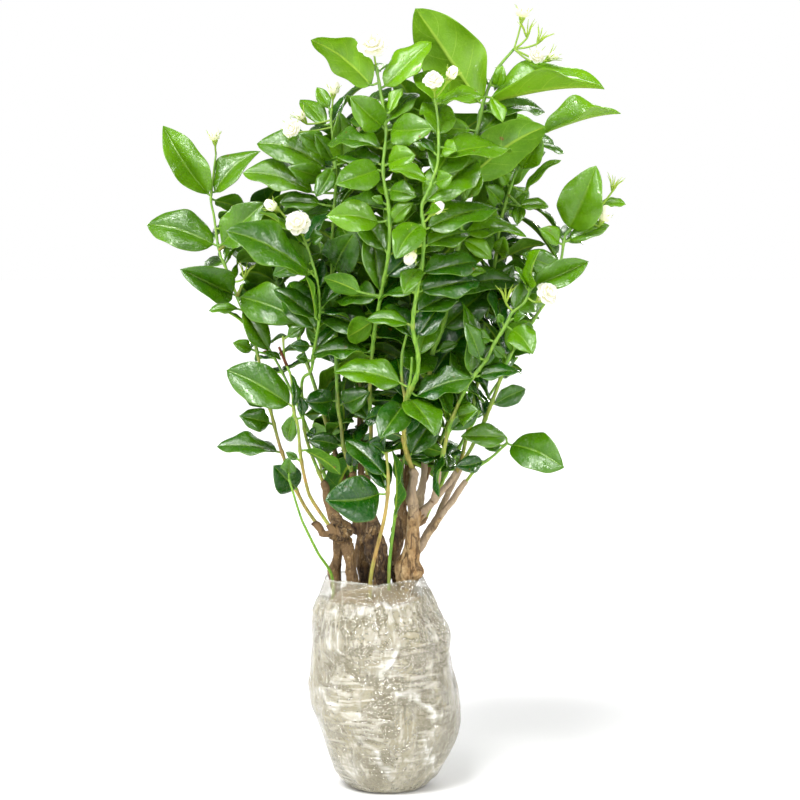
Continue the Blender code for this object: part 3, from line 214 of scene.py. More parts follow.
# Calyces that have dropped their flower: the shoot, (u, v) of the cup and (u, v) it points at
SPENT_CALYCES = (
    ("shoot_crown", (527, 38), (527, 24)), ("shoot_crown", (537, 44), (543, 34)),
    ("shoot_right_outer", (586, 213), (583, 195)), ("shoot_right_outer", (612, 192), (616, 178)),
    ("shoot_right_middle", (506, 303), (506, 286)), ("shoot_left_outer", (244, 279), (247, 262)),
    ("shoot_left_outer", (260, 222), (260, 208)),
)

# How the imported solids' leaves and flowers are shaped, as in their source
TOUCH_GAP = 0.3 * MM
LEAF_THICKNESS = 0.95 * MM
STALK_WIDTH = 1.7 * MM
STALK_LENGTH = 4 * MM
LEAF_ASPECT = 0.6             # width over length of a leaf seen square on
BIG_LEAF = 28 * MM            # leaves wider than this have a midrib fold
SMALL_LEAF = 12 * MM          # leaves no wider than this have one station
STATIONS = (0.26, 0.68)       # where a leaf's width is set along its length
SMALL_STATIONS = (0.42,)
OUTLINE_FILL = 1.1            # the few straight sides of a leaf bulge past its round outline
LEAF_FOLD = math.radians(10)  # how far each half of a blade is lifted from flat
DEEP_FOLD = math.radians(42)  # the same in a leaf that shows folded
LEAF_ROLL = math.radians(14)  # how far a leaf seen square on is rolled upward
MOST_ROLL = math.radians(68)
LEAF_ARCH = 0.09              # height of a leaf's arch over its length
GROWN_ARCH = 0.1              # the same in a leaf that a rule grows
MOST_LENGTH = 1.32            # of a leaf that points at the viewer, over what shows of it
CALYX_LENGTH = 3.6 * MM
CALYX_RADIUS = 1.9 * MM
CALYX_AHEAD = 3               # mm that a calyx sits in front of its stem
PEDICEL_RADIUS = 0.75 * MM
PEDICEL_LENGTH = 6 * MM       # at least
TUBE_RADIUS = 1.2 * MM
FACING = {"bud": 2, "open": 13, "double": 9, "spent": 2}   # mm that a flower leans forward
SOIL_TOP = 139.5 * MM
CANE_TOP = SOIL_TOP + 40 * MM   # a stem that starts lower than this stands in the soil
TWIG_GIRTH = (1.5, 1.1)       # radii of a green twig, in mm

# How a leaf is found in its shoot's solid
SAME_PLACE = 0.02 * MM        # how near a solid's point has to be to where a leaf would have it
LEAST_MATCHES = 3             # points of a leaf that have to be found

# The rule-grown shoots: foot of their trunk, then heading, reach, height and start of each, in mm
BACK_TRUNKS = (
    ("back_left", (-22, 20), (
        (96, 112, 470, 262), (124, 98, 420, 242), (152, 128, 440, 262), (110, 44, 512, 284),
        (140, 126, 336, 206))),
    ("back_right", (4, 19), (
        (22, 130, 408, 246), (44, 112, 468, 272), (72, 124, 404, 250), (50, 46, 518, 290),
        (36, 128, 326, 204))),
)
BACK_NODE_SPACING = 45 * MM
BACK_LEAF_LENGTH = (44, 68)   # shortest and longest, in mm
BACK_STEM_GIRTH = (1.9, 1.0)
BACK_STEM_POINTS = 6
BACK_START = 0.22             # how far out a stem starts, over its reach
BACK_RISE = 0.16              # of its middle above a straight line, over its height
GROWN_ASPECT = (0.54, 0.64)   # least and most width over length
HEADING_SPREAD = 0.3          # radians by which a leaf may be off its pair's heading

# The outline of the photograph's canopy, and the gaps in it through which the background shows,
# as (u, v, pixels from their middle). Leaves that a rule grows stay behind them.
CANOPY = ((270, 150), (330, 105), (380, 66), (440, 50), (500, 74), (562, 106), (572, 165),
          (592, 230), (562, 272), (536, 330), (520, 380), (475, 410), (462, 470), (330, 480),
          (310, 440), (325, 385), (302, 318), (262, 318), (238, 298), (200, 262), (205, 215),
          (236, 205))
CANOPY_GAPS = ((452, 335, 10), (448, 252, 8), (522, 297, 10), (300, 372, 30), (500, 392, 12),
               (545, 175, 12), (395, 444, 8), (455, 432, 13))

rng = random.Random(7)        # the same draws as in the source of the solids


def seen(u, v, depth):
    """The point that the photograph shows at (u, v), with Y = depth in mm."""
    ray = VIEW_FORWARD * VIEW_DISTANCE
    ray = ray + Vector((1, 0, 0)) * (u - VIEW_PIXEL[0]) * PIXEL
    ray = ray + VIEW_UP * (VIEW_PIXEL[1] - v) * PIXEL
    return EYE + ray * ((depth * MM - EYE.y) / ray.y)


def shown_at(point):
    """Where the photograph shows a point, the inverse of seen()."""
    away = point - EYE
    scale = VIEW_DISTANCE / away.dot(VIEW_FORWARD) / PIXEL
    return VIEW_PIXEL[0] + away.x * scale, VIEW_PIXEL[1] - away.dot(VIEW_UP) * scale


def bend(start, crest, end, s):
    """The place of a share s along a curve from start to end that is drawn to its crest."""
    return start * (1 - s) ** 2 + crest * 2 * s * (1 - s) + end * s ** 2


def outline(s):
    """Half width of a leaf along its length, from 0 at the base to 0 at the tip, at most 1."""
    return math.sin(math.pi * s ** 0.85) ** 0.75


def leaf_axes(leaf):
    """Directions along, across and out of a leaf's blade."""
    along = (leaf.tip - leaf.base).normalized()
    normal = (leaf.normal - along * leaf.normal.dot(along)).normalized()
    return along, along.cross(normal), normal


def blade_rows(leaf):
    """Rows of points across the blade that a leaf has in the solids: base, stations and tip."""
    along, side, normal = leaf_axes(leaf)
    length = (leaf.tip - leaf.base).length
    crest = (leaf.base + leaf.tip) / 2 + normal * leaf.arch * length
    rows = [[leaf.base - side * STALK_WIDTH / 2, leaf.base + side * STALK_WIDTH / 2]]
    for s in STATIONS if leaf.width > SMALL_LEAF else SMALL_STATIONS:
        rib = bend(leaf.base, crest, leaf.tip, s)
        half = leaf.width / 2 * outline(s) * OUTLINE_FILL
        edge = side * half * math.cos(leaf.fold)
        lift = normal * half * math.sin(leaf.fold)
        if leaf.width > BIG_LEAF:
            rows.append([rib - edge + lift, rib, rib + edge + lift])
        else:
            rows.append([rib - edge, rib + edge])
    rows.append([leaf.tip])
    return rows


def nearest_on(route, target):
    """The point of a stem that the photograph shows nearest to a place in it."""
    best = None
    for start, end in zip(route, route[1:]):
        for step in range(9):
            point = start.lerp(end, step / 8)
            u, v = shown_at(point)
            distance = math.hypot(u - target[0], v - target[1])
            if best is None or distance < best[0]:
                best = (distance, point)
    return best[1]


def read_leaf(row, route, shift, reach_more, roll_more, scale):
    """A leaf from its row of SHOOTS: a leaf that looks too short for its width points at the
    viewer, and one that looks too narrow is rolled, its upper face turned upward."""
    base_u, base_v, tip_u, tip_v, width, *side = row
    root = nearest_on(route, (base_u, base_v))
    depth = root.y / MM + shift
    base = seen(base_u, base_v, depth)
    flat_tip = seen(tip_u, tip_v, depth)
    ahead = (base - root).dot(flat_tip - base)
    if (base - root).length < STALK_LENGTH * 0.6 or ahead < 0:
        base = root + (flat_tip - root).normalized() * STALK_LENGTH
    length = (flat_tip - base).length
    width = width * PIXEL * (base - EYE).length / VIEW_DISTANCE
    fold = LEAF_FOLD
    if "fold" in side:
        fold = DEEP_FOLD
        width /= math.cos(fold)
    reach = 0.0
    roll = LEAF_ROLL
    if width > LEAF_ASPECT * length:
        reach = -math.sqrt(min(width / LEAF_ASPECT, MOST_LENGTH * length) ** 2 - length ** 2)
    else:
        roll = min(math.acos(width / (LEAF_ASPECT * length)), MOST_ROLL)
        width /= math.cos(roll)
    if "under" in side:
        roll = math.pi - roll
    roll += roll_more
    tip = seen(tip_u, tip_v, depth + reach / MM + reach_more)
    tip = base + (tip - base) * scale
    along = (tip - base).normalized()
    facing = Vector((0, -1, 0)) + along * along.y
    facing.normalize()
    across = facing.cross(along)
    if across.z < 0:
        across = -across
    normal = facing * math.cos(roll) + across * math.sin(roll)
    return Leaf(root, base, tip, normal, width * scale, fold, LEAF_ARCH)


def leaf_tries():
    """Ways in which a leaf may have been shifted: base and tip depth in mm, roll and size."""
    for scale in (1.0, 0.86, 0.72, 0.58):
        for shift in (0, -8, 8, -15):
            for reach in (0, -9, 9, -18, 18, -30, 30):
                for roll in (0, 18, -18, 36, 54):
                    yield shift, reach, math.radians(roll), scale


def back_shoots():
    """Name, trunk's foot and measures of each rule-grown shoot."""
    for side, foot, shoots in BACK_TRUNKS:
        for number, shoot in enumerate(shoots, 1):
            yield f"shoot_{side}_{number}", foot, shoot


def route_length(route):
    return sum((b - a).length for a, b in zip(route, route[1:]))


def travelled(route, travel):
    """The point at a distance along a route, and the route's direction there."""
    for start, end in zip(route, route[1:]):
        length = (end - start).length
        if travel <= length or end is route[-1]:
            break
        travel -= length
    way = (end - start).normalized()
    return start + way * min(travel, length), way


def back_route(foot, heading, reach, height, twig_top):
    """Stem of a rule-grown shoot that arches outward from a back trunk."""
    angle = math.radians(heading)
    out = Vector((math.cos(angle), math.sin(angle), 0))
    start = Vector((*foot, 0)) * MM + out * reach * BACK_START * MM
    start.z = twig_top * MM
    end = Vector((-4 * MM, 0, 0)) + out * reach * MM
    end.z = height * MM
    middle = start.lerp(end, 0.5) + Vector((0, 0, (height - twig_top) * BACK_RISE * MM))
    return [bend(start, middle, end, i / (BACK_STEM_POINTS - 1))
            for i in range(BACK_STEM_POINTS)]


def inside_canopy(point):
    """True where the photograph's canopy hides a point."""
    u, v = shown_at(point)
    if any(math.hypot(u - gap_u, v - gap_v) < size for gap_u, gap_v, size in CANOPY_GAPS):
        return False
    inside = False
    for (u1, v1), (u2, v2) in zip(CANOPY, CANOPY[1:] + CANOPY[:1]):
        if (v1 > v) != (v2 > v) and u < u1 + (v - v1) * (u2 - u1) / (v2 - v1):
            inside = not inside
    return inside


def grown_leaf(root, stem_way, heading, rise, length, aspect):
    """A leaf that leaves its stem at a heading round it, and rises and droops."""
    out = Quaternion(Vector((0, 0, 1)), heading) @ Vector((1, 0, 0))
    out = (out - stem_way * out.dot(stem_way) * 0.6).normalized()
    along = (out * math.cos(rise) + Vector((0, 0, 1)) * math.sin(rise)).normalized()
    base = root + along * STALK_LENGTH
    tip = base + along * length
    normal = stem_way + Vector((0, 0, 0.5))
    return Leaf(root, base, tip, normal, length * aspect, LEAF_FOLD, GROWN_ARCH)


def rule_leaf(*where):
    """A grown leaf, or None where the photograph's canopy wouldn't hide it."""
    leaf = grown_leaf(*where)
    side = (leaf.tip - leaf.base).cross(leaf.normal).normalized() * leaf.width * 0.5
    middle = leaf.base.lerp(leaf.tip, 0.5)
    if all(inside_canopy(point) for point in (leaf.tip, middle + side, middle - side)):
        return leaf
    return None


def rule_tries(root, way, heading, length, aspect):
    """The leaves that the rule may have grown at one place, in the order tried."""
    for scale in (1.0, 0.84, 0.7):
        for turn in (0, 24, -24, 48, -48, 70, -70):
            for rise in (14, 38, -12, 60):
                yield rule_leaf(root, way, heading + math.radians(turn), math.radians(rise),
                                length * scale, aspect)


def rule_places(route, heading):
    """Where the leaves of a rule-grown stem start: pairs, each turned a quarter from the last."""
    total = route_length(route)
    pairs = max(int(total / BACK_NODE_SPACING), 3)
    for k in range(pairs):
        root, way = travelled(route, total * (k + 0.75) / (pairs + 0.1))
        for half_turn in (0, math.pi):
            length = rng.uniform(*BACK_LEAF_LENGTH) * MM * (1.05 - 0.25 * k / pairs)
            angle = math.radians(heading) + half_turn + (k % 2) * math.pi / 2
            angle += rng.uniform(-HEADING_SPREAD, HEADING_SPREAD)
            aspect = rng.uniform(*GROWN_ASPECT)
            yield root, way, angle, length, aspect


def found_leaf(leaves, tree):
    """The one of some leaves that a shoot's solid holds, told by the solid's own points."""
    best, most = None, LEAST_MATCHES - 1
    for leaf in leaves:
        if leaf is None:
            continue
        points = [point for row in blade_rows(leaf)[1:] for point in row]
        matches = sum(abs(tree.find(point)[2] - LEAF_THICKNESS / 2) < SAME_PLACE
                      for point in points)
        if matches > most:
            best, most = leaf, matches
        if matches == len(points):
            break
    return best


def point_tree(mesh):
    """A search tree of a mesh's points."""
    tree = KDTree(len(mesh.vertices))
    for i, vertex in enumerate(mesh.vertices):
        tree.insert(vertex.co, i)
    tree.balance()
    return tree


def face_tree(mesh):
    """A search tree of a mesh's faces."""
    return BVHTree.FromPolygons([vertex.co for vertex in mesh.vertices],
                                [face.vertices for face in mesh.polygons])


# Pieces of the scene
def linked(name, data):
    """A new object in the scene."""
    made = bpy.data.objects.new(name, data)
    bpy.context.scene.collection.objects.link(made)
    return made


def stand_in(piece, node):
    """Lets a piece show in the place of a CAD node."""
    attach(piece, "root")
    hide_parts(node)


class Pile:
    """The points and faces of one piece, with values at its points that its materials read."""

    def __init__(self, *names):
        self.points = []
        self.faces = []
        self.slots = []
        self.values = {name: [] for name in names}

    def loft(self, rings, slots, **values):
        """Adds a closed solid through rings of points, which turn anticlockwise round its way.
        It has one material slot, or one for each place round its rings."""
        rings = np.asarray(rings)
        rows, count = rings.shape[:2]
        i, j = np.meshgrid(np.arange(rows - 1), np.arange(count), indexing="ij")
        near, far = i * count + j, i * count + (j + 1) % count
        faces = np.stack([near, far, far + count, near + count], -1).reshape(-1, 4).tolist()
        faces.append(range(count)[::-1])
        faces.append(range((rows - 1) * count, rows * count))
        if isinstance(slots, int):
            slots = [slots] * count
        start = len(self.points)
        self.points += rings.reshape(-1, 3).tolist()
        self.faces += [tuple(start + i for i in face) for face in faces]
        self.slots += list(slots) * (rows - 1) + [slots[-1]] * 2
        for name, kept in self.values.items():
            value = np.asarray(values.get(name, 0.0), float)
            if value.ndim == 1:
                value = value[:, None]
            kept += list(np.broadcast_to(value, (rows, count)).reshape(-1))

    def tube(self, points, radii, step, sides, **values):
        """Adds a tube of green skin along a smooth curve through some points."""
        line, girths = smooth_line(points, radii, step)
        self.loft(sweep(line, girths, sides), STEM, **values)

    def made(self, name, materials, node, slot):
        """Makes the piece, which shows in the place of a CAD node."""
        mesh = bpy.data.meshes.new(name)
        mesh.from_pydata(self.points, [], self.faces)
        mesh.polygons.foreach_set("material_index", self.slots)
        mesh.polygons.foreach_set("use_smooth", [True] * len(self.faces))
        for value_name, value in self.values.items():
            layer = mesh.attributes.new(value_name, "FLOAT", "POINT")
            layer.data.foreach_set("value", np.asarray(value, np.float32))
        for finish in materials:
            mesh.materials.append(finish)
        mesh.update()
        stand_in(linked(name, mesh), node)


def smooth_line(points, radii, step):
    """Points and radii along a smooth curve through some points, about a step apart."""
    ends = [points[0] * 2 - points[1]] + list(points) + [points[-1] * 2 - points[-2]]
    line, girths = [], []
    for k in range(len(points) - 1):
        a, b, c, d = ends[k:k + 4]
        count = max(int((c - b).length / step + 0.5), 1)
        for i in range(count + (k == len(points) - 2)):
            s = i / count
            line.append((b * 2 + (c - a) * s + (a * 2 - b * 5 + c * 4 - d) * s ** 2
                         + (b * 3 - a - c * 3 + d) * s ** 3) / 2)
            girths.append(radii[k] + (radii[k + 1] - radii[k]) * s)
    return line, girths


def turns(count):
    """Angles all the way round, in even steps."""
    return [2 * math.pi * i / count for i in range(count)]


def sweep(line, radii, sides):
    """Rings round a line of points."""
    rings = []
    across = Vector((1, 0.3, 0.1))
    for k, point in enumerate(line):
        way = (line[min(k + 1, len(line) - 1)] - line[max(k - 1, 0)]).normalized()
        across = (across - way * across.dot(way)).normalized()
        other = way.cross(across)
        rings.append([point + (across * math.cos(angle) + other * math.sin(angle)) * radii[k]
                      for angle in turns(sides)])
    return rings


def tapered(girth, count):
    """Radii from a girth in mm at the foot to one at the end."""
    return [(girth[0] + (girth[1] - girth[0]) * i / (count - 1)) * MM for i in range(count)]


# Leaves
TOP, UNDER, STEM, DRY = range(4)   # material slots of a shoot
BLADE = 0.45 * MM             # thickness of a blade
KEEL = 0.5 * MM               # how far the rib stands out below, at its foot
GROOVE = 0.35 * MM            # how deep it lies above
PETIOLE = 0.85 * MM           # radius of a leaf's stalk
LEAST_HALF = (0.8 * MM, 0.12 * MM)   # half width of a blade at its base and at its tip
VEINS = 4.4                   # pairs of side veins
VEIN_SLANT = 0.3              # how far a side vein runs toward the tip, in blade lengths
VEIN_CURVE = 1.2
PILLOW = 0.075                # height of the bulges between veins over the half width,
MOST_PILLOW = 1.3 * MM        # and at most
ROW_LENGTH = 2.6 * MM         # of a blade's mesh
WIDE_LEAF = 20 * MM
COLUMNS = (0, 0.07, 0.25, 0.45, 0.65, 0.83, 0.95, 1)
NARROW_COLUMNS = (0, 0.1, 0.4, 0.72, 1)
STUB = MM                     # a stalk shorter than this is only a stub

# What differs from blade to blade: the least and the most of each
WIDEST = (0.82, 0.93)         # the less, the nearer its base it is widest
BLUNTNESS = (0.62, 0.76)      # the less, the blunter are its ends
POINTEDNESS = (0.0, 0.45)     # the more, the more its tip runs out in a point
SIDEWAYS = (-0.06, 0.06)      # bend of its rib, in its lengths
CUP_RISE = (0.25, 0.6)        # how steeply its halves rise from the rib
TWIST = (-0.42, 0.42)         # radians in half its length
WAVES = (1.2, 2.2)            # along an edge
WAVE_HEIGHT = (0.06, 0.26)    # in its half widths
DROOP = (0.05, 0.42)          # how fast its outer half bends down
UNEVENNESS = 0.025            # of the edges of all, in their half widths


def side_to_side(half):
    """Columns across a whole blade, from those of its half."""
    return np.array([-t for t in half[:0:-1]] + list(half))


def blade_rings(leaf, turn):
    """Rings round a thin blade, with how far along and across each of their points is."""
    along, side, normal = (np.array(axis) for axis in leaf_axes(leaf))
    base, tip = np.array(leaf.base), np.array(leaf.tip)
    length = np.linalg.norm(tip - base)
    columns = side_to_side(COLUMNS if leaf.width > WIDE_LEAF else NARROW_COLUMNS)
    rows = int(np.clip(length / ROW_LENGTH, 9, 30))
    s, t = np.meshgrid(np.linspace(0, 1, rows + 1), columns, indexing="ij")
    wide = np.abs(t)

    # its outline: an oval that may run out in a point, with slightly uneven edges
    full = np.sin(np.pi * s ** turn.uniform(*WIDEST)) ** turn.uniform(*BLUNTNESS)
    point = turn.uniform(*POINTEDNESS)
    full = full * (1 - point * np.clip((s - 0.8) / 0.2, 0, 1) * (1 - full))
    uneven = UNEVENNESS * np.sin(s * 17 + turn.uniform(0, 6)) * wide
    half = leaf.width / 2 * full * (1 + uneven)
    half = np.maximum(half, np.where(s < 0.5, *LEAST_HALF))

    # its rib, arched and slightly bent to one side
    crest = (base + tip) / 2 + normal * leaf.arch * length
    rib = bend(base, crest, tip, s[..., None])
    rib = rib + (side * length * turn.uniform(*SIDEWAYS)) * np.sin(np.pi * s[..., None])

    # its lift off a flat blade: fold, cup, twist, wavy edges, drooping tip, veins and groove
    twist = turn.uniform(*TWIST) * (s - 0.4) * 2
    lift = half * (math.sin(leaf.fold) * wide + turn.uniform(*CUP_RISE) * (wide - wide ** 2))
    lift += half * t * np.sin(twist)
    waves = turn.uniform(*WAVES)
    for sign in (-1, 1):
        wave = np.sin(2 * np.pi * (waves * s + turn.random())) * turn.uniform(*WAVE_HEIGHT)
        lift += np.where(t * sign > 0, half * wave * wide ** 3, 0)
    lift -= length * turn.uniform(*DROOP) * np.clip(s - 0.5, 0, 1) ** 2
    vein = VEINS * (s - VEIN_SLANT * wide ** VEIN_CURVE)
    pillow = (0.5 - 0.5 * np.cos(2 * np.pi * vein)) * np.sin(np.pi * wide ** 0.8)
    lift += pillow * np.minimum(PILLOW * half, MOST_PILLOW)
    on_rib = wide < 0.01
    lift -= np.where(on_rib, GROOVE, 0) * full
    keel = np.where(on_rib, KEEL * (1 - 0.6 * s), 0)

    middle = rib + side * (half * t * math.cos(leaf.fold))[..., None]
    upper = middle + normal * (lift + BLADE / 2)[..., None]
    under = middle + normal * (lift - BLADE / 2 - keel)[..., None]
    rings = np.concatenate([upper, under[:, ::-1]], axis=1)
    return rings, np.concatenate([s, s], axis=1), np.concatenate([t, t[:, ::-1]], axis=1)


def add_leaf(pile, leaf, youth, seed):
    """A blade with its stalk."""
    turn = random.Random(seed)
    rings, along, across = blade_rings(leaf, turn)
    count = rings.shape[1] // 2
    pile.loft(rings, [TOP] * (count - 1) + [UNDER] * (count + 1), along=along, across=across,
              youth=youth, chance=turn.random())
    blade_way = (leaf.tip - leaf.base).normalized()
    stalk = [leaf.root, leaf.root.lerp(leaf.base, 0.5) - Vector((0, 0, 0.3 * MM)), leaf.base,
             leaf.base + blade_way * 4 * MM - leaf_axes(leaf)[2] * 0.5 * MM]
    if (leaf.base - leaf.root).length < STUB:
        way = (leaf.base - leaf.root).normalized()
        stalk = [leaf.base - way * MM] + stalk[2:]
    radii = [PETIOLE * 1.15] + [PETIOLE] * (len(stalk) - 2) + [PETIOLE * 0.3]
    pile.tube(stalk, radii, 1.5 * MM, 6, along=0.8, youth=max(youth, 0.55), chance=0.5)


# Stems
STEM_SLIMNESS = 0.85          # radius of a stem over that of its solid
FOOT_YOUTH = 0.35             # of a stem at its foot, over that at its end
STEM_STEP = 2.5 * MM
KNUCKLE = 0.4                 # how much a stem swells where leaves grow
KNUCKLE_LENGTH = 2.2 * MM


def add_stem(pile, points, radii, roots, youth, sides=9, slot=STEM):
    """A stem or twig, swollen where its leaves grow."""
    line, girths = smooth_line(points, radii, STEM_STEP)
    for k, point in enumerate(line):
        near = min(((point - root).length for root in roots), default=1.0)
        girths[k] *= STEM_SLIMNESS * (1 + KNUCKLE * math.exp(-(near / KNUCKLE_LENGTH) ** 2))
    share = np.linspace(0, 1, len(line))
    pile.loft(sweep(line, girths, sides), slot, along=share,
              youth=youth * (FOOT_YOUTH + (1 - FOOT_YOUTH) * share), chance=0.5)


# Calyces
CUP = ((0, PEDICEL_RADIUS), (1.0, 1.2 * MM), (2.2, 1.75 * MM), (3.6, CALYX_RADIUS))
SEPALS = 8
SEPAL_LENGTH = (8, 11)        # shortest and longest, in mm
SEPAL_GIRTH = (0.55 * MM, 0.45 * MM, 0.15 * MM)
SEPAL_SPREAD = {"bud": 0.85, "open": 1.3, "double": 1.3, "spent": 1.0}


def calyx_place(route, kind, cup, towards):
    """Root, seat and turn of a calyx, where the solids have it."""
    root = nearest_on(route, cup)
    depth = root.y / MM - CALYX_AHEAD
    seat = seen(*cup, depth)
    way = seen(*towards, depth - FACING[kind]) - seat
    turn = way.to_track_quat("Z", "Y")
    if (seat - root).length < PEDICEL_LENGTH:
        seat = root + turn @ Vector((0, 0, PEDICEL_LENGTH))
    return root, seat, turn


def add_calyx(pile, root, seat, turn, kind, seed):
    """A flower stalk, the cup on it, and the cup's narrow sepals."""
    chances = random.Random(seed)
    up = turn @ Vector((0, 0, 1))
    middle = root.lerp(seat, 0.55) + Vector((0, 0, -0.8 * MM))
    points = [root, middle] + [seat + up * height * MM for height, radius in CUP]
    radii = [PEDICEL_RADIUS] * 2 + [radius for height, radius in CUP]
    pile.tube(points, radii, 1.2 * MM, 8, along=0.9, youth=1.0, chance=0.7)
    spread = SEPAL_SPREAD[kind]
    for i in range(SEPALS):
        angle = 2 * math.pi * (i + chances.uniform(-0.2, 0.2)) / SEPALS
        out = turn @ Vector((math.cos(angle), math.sin(angle), 0))
        length = chances.uniform(*SEPAL_LENGTH) * MM
        foot = seat + up * 3 * MM + out * CALYX_RADIUS * 0.85
        knee = foot + up * length * 0.45 + out * length * 0.16 * spread
        end = foot + up * length * 0.95 + out * length * (0.16 + 0.42 * spread)
        pile.tube([foot, knee, end], SEPAL_GIRTH, 1.5 * MM, 5, along=0.9, youth=1.0,
                  chance=0.9)


# Flowers: a flower's only material slot, half a petal's thickness, and the whorls of petals, each
# with its number of petals, reach and rise over the flower's radius, and width over it
PETAL = 0
PETAL_THICK = 0.25 * MM
WHORLS = {"open": ((7, 1.0, 0.4, 1.0), (6, 0.72, 0.72, 0.95), (5, 0.45, 0.85, 0.75)),
          "double": ((8, 1.0, 0.35, 0.95), (7, 0.82, 0.62, 0.95), (6, 0.6, 0.84, 0.85),
                     (4, 0.4, 0.95, 0.75))}
BUD_SLIMNESS = 2.4            # height of a bud above its tube over its radius
BUD_STEPS = 12
SWIRL_TOP = {"open": 0.7, "double": 0.85}   # height of the furled middle over the radius
SWIRL = ((0.26, 0.35), (0.3, 0.6), (0.22, 0.85), (0.06, 1.0))   # its radius and share of height


def add_petal(pile, turn, seat, angle, reach, rise, width, cup):
    """A rounded petal that rises from the tube out to its reach, cupped across."""
    s, t = np.meshgrid(np.linspace(0, 1, 9), side_to_side((0, 0.35, 0.7, 1)), indexing="ij")
    foot = TUBE_RADIUS * 0.8
    half = width / 2 * np.sin(np.pi * (0.12 + 0.82 * s) ** 0.9) ** 0.6
    x, y = foot + (reach - foot) * s, half * t
    height = rise[0] + (rise[1] - rise[0]) * np.sin(np.pi / 2 * s) + cup * half * t ** 2
    height = height - 0.10 * reach * s ** 3
    ca, sa = math.cos(angle), math.sin(angle)
    under, upper = (np.stack([x * ca - y * sa, x * sa + y * ca, height + offset], -1)
                    for offset in (-PETAL_THICK, PETAL_THICK))
    rings = np.concatenate([under, upper[:, ::-1]], axis=1)
    pile.loft(rings @ np.array(turn.to_matrix()).T + np.array(seat), PETAL,
              along=np.concatenate([s, s], axis=1), chance=angle % 1)


def add_turned(pile, turn, seat, profile, sides, ribs=0, twist=0.0, depth=0.0):
    """A turned form, (radius, height) from its foot up, with spiral ribs if asked."""
    rings = []
    for radius, height in profile:
        ring = []
        for angle in turns(sides):
            rib = 1 - depth * abs(math.sin(ribs * angle / 2 + twist * height / MM))
            spot = Vector((math.cos(angle) * radius * rib, math.sin(angle) * radius * rib, height))
            ring.append(seat + turn @ spot)
        rings.append(ring)
    top = profile[-1][1]
    pile.loft(rings, PETAL, along=[height / top for radius, height in profile], chance=0.5)


def add_bud(pile, radius, length, turn, seat):
    """A furled bud on its tube."""
    waist = max(length - radius * 1.25, 1.5 * MM)
    profile = [(TUBE_RADIUS, 0), (TUBE_RADIUS, waist * 0.6), (TUBE_RADIUS * 1.3, waist)]
    for k in range(1, BUD_STEPS):
        s = k / BUD_STEPS
        profile.append((radius * math.sin(math.pi * min(0.2 + 0.79 * s, 0.985)) ** 0.5,
                        waist + radius * BUD_SLIMNESS * s))
    add_turned(pile, turn, seat, profile, 24, ribs=5, twist=0.12, depth=0.09)


def add_flower(pile, kind, radius, length, turn, seat, seed):
    """An open or double flower: its tube, whorls of petals, and a furled middle."""
    chances = random.Random(seed)
    throat = max(length, 3 * MM)
    tube = [(TUBE_RADIUS, 0), (TUBE_RADIUS, throat * 0.8), (TUBE_RADIUS * 1.5, throat),
            (TUBE_RADIUS * 1.8, throat + 0.8 * MM)]
    add_turned(pile, turn, seat, tube, 14)
    for number, (count, reach, rise, width) in enumerate(WHORLS[kind]):
        for i in range(count):
            angle = 2 * math.pi * (i + 0.5 * number) / count + chances.uniform(-0.12, 0.12)
            out = radius * reach * chances.uniform(0.9, 1.0)
            lift = (throat + i % 2 * 0.5 * MM, throat + radius * rise * chances.uniform(0.85, 1.15))
            add_petal(pile, turn, seat, angle, out, lift, radius * width,
                      chances.uniform(0.1, 0.4))
    top = radius * SWIRL_TOP[kind]
    swirl = [(0.6 * MM, throat - MM)]
    swirl += [(radius * wide, throat + top * high) for wide, high in SWIRL]
    add_turned(pile, turn, seat, swirl, 20, ribs=3, twist=0.4, depth=0.25)


# Wood and soil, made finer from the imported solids
KNOT_RADIUS = 4.5 * MM
KNOT_HEIGHT = 2.2 * MM
TRUNK_KNOTS = 20
FULL_GIRTH = 12 * MM          # wood thinner than this is smoother
GRAIN_STRETCH = 0.45          # of the bumps, along the wood
BARK_BUMPS = ((9 * MM, 2.8 * MM), (4 * MM, 1.8 * MM), (2 * MM, 0.9 * MM))   # size and height
SOIL_BUMPS = ((14 * MM, 0.8 * MM), (4 * MM, 1.2 * MM))
SOIL_INSET = 1.5 * MM
MOUND = 17 * MM               # how far the soil heaps up between the trunks,
MOUND_REACH = 40 * MM         # how far out,
MOUND_X = -13 * MM            # and where its middle is
BURLS = {"trunk_right": (((404, 563, -2), 8.0, 5.0), ((417, 572, -4), 6.0, 3.0),
                         ((402, 530, 2), 5.0, 1.5)),
         "trunk_left": (((334, 532, 6), 6.0, 2.5), ((345, 528, 6), 7.0, 3.0),
                        ((330, 566, 6), 6.0, 2.5), ((350, 570, 6), 6.0, 2.5)),
         "trunk_middle": (((366, 538, 8), 7.0, 2.5), ((388, 566, 6), 7.0, 3.0))}


def remeshed(name, mesh, voxel, rounds):
    """A piece with a mesh of even faces, smoothed in some rounds."""
    piece = linked(name, mesh.copy())
    remesh = piece.modifiers.new("remesh", "REMESH")
    remesh.mode = "VOXEL"
    remesh.voxel_size = voxel
    relax = piece.modifiers.new("relax", "SMOOTH")
    relax.factor = 0.5
    relax.iterations = rounds
    graph = bpy.context.evaluated_depsgraph_get()
    even = bpy.data.meshes.new_from_object(piece.evaluated_get(graph))
    piece.modifiers.clear()
    piece.data = even
    return piece


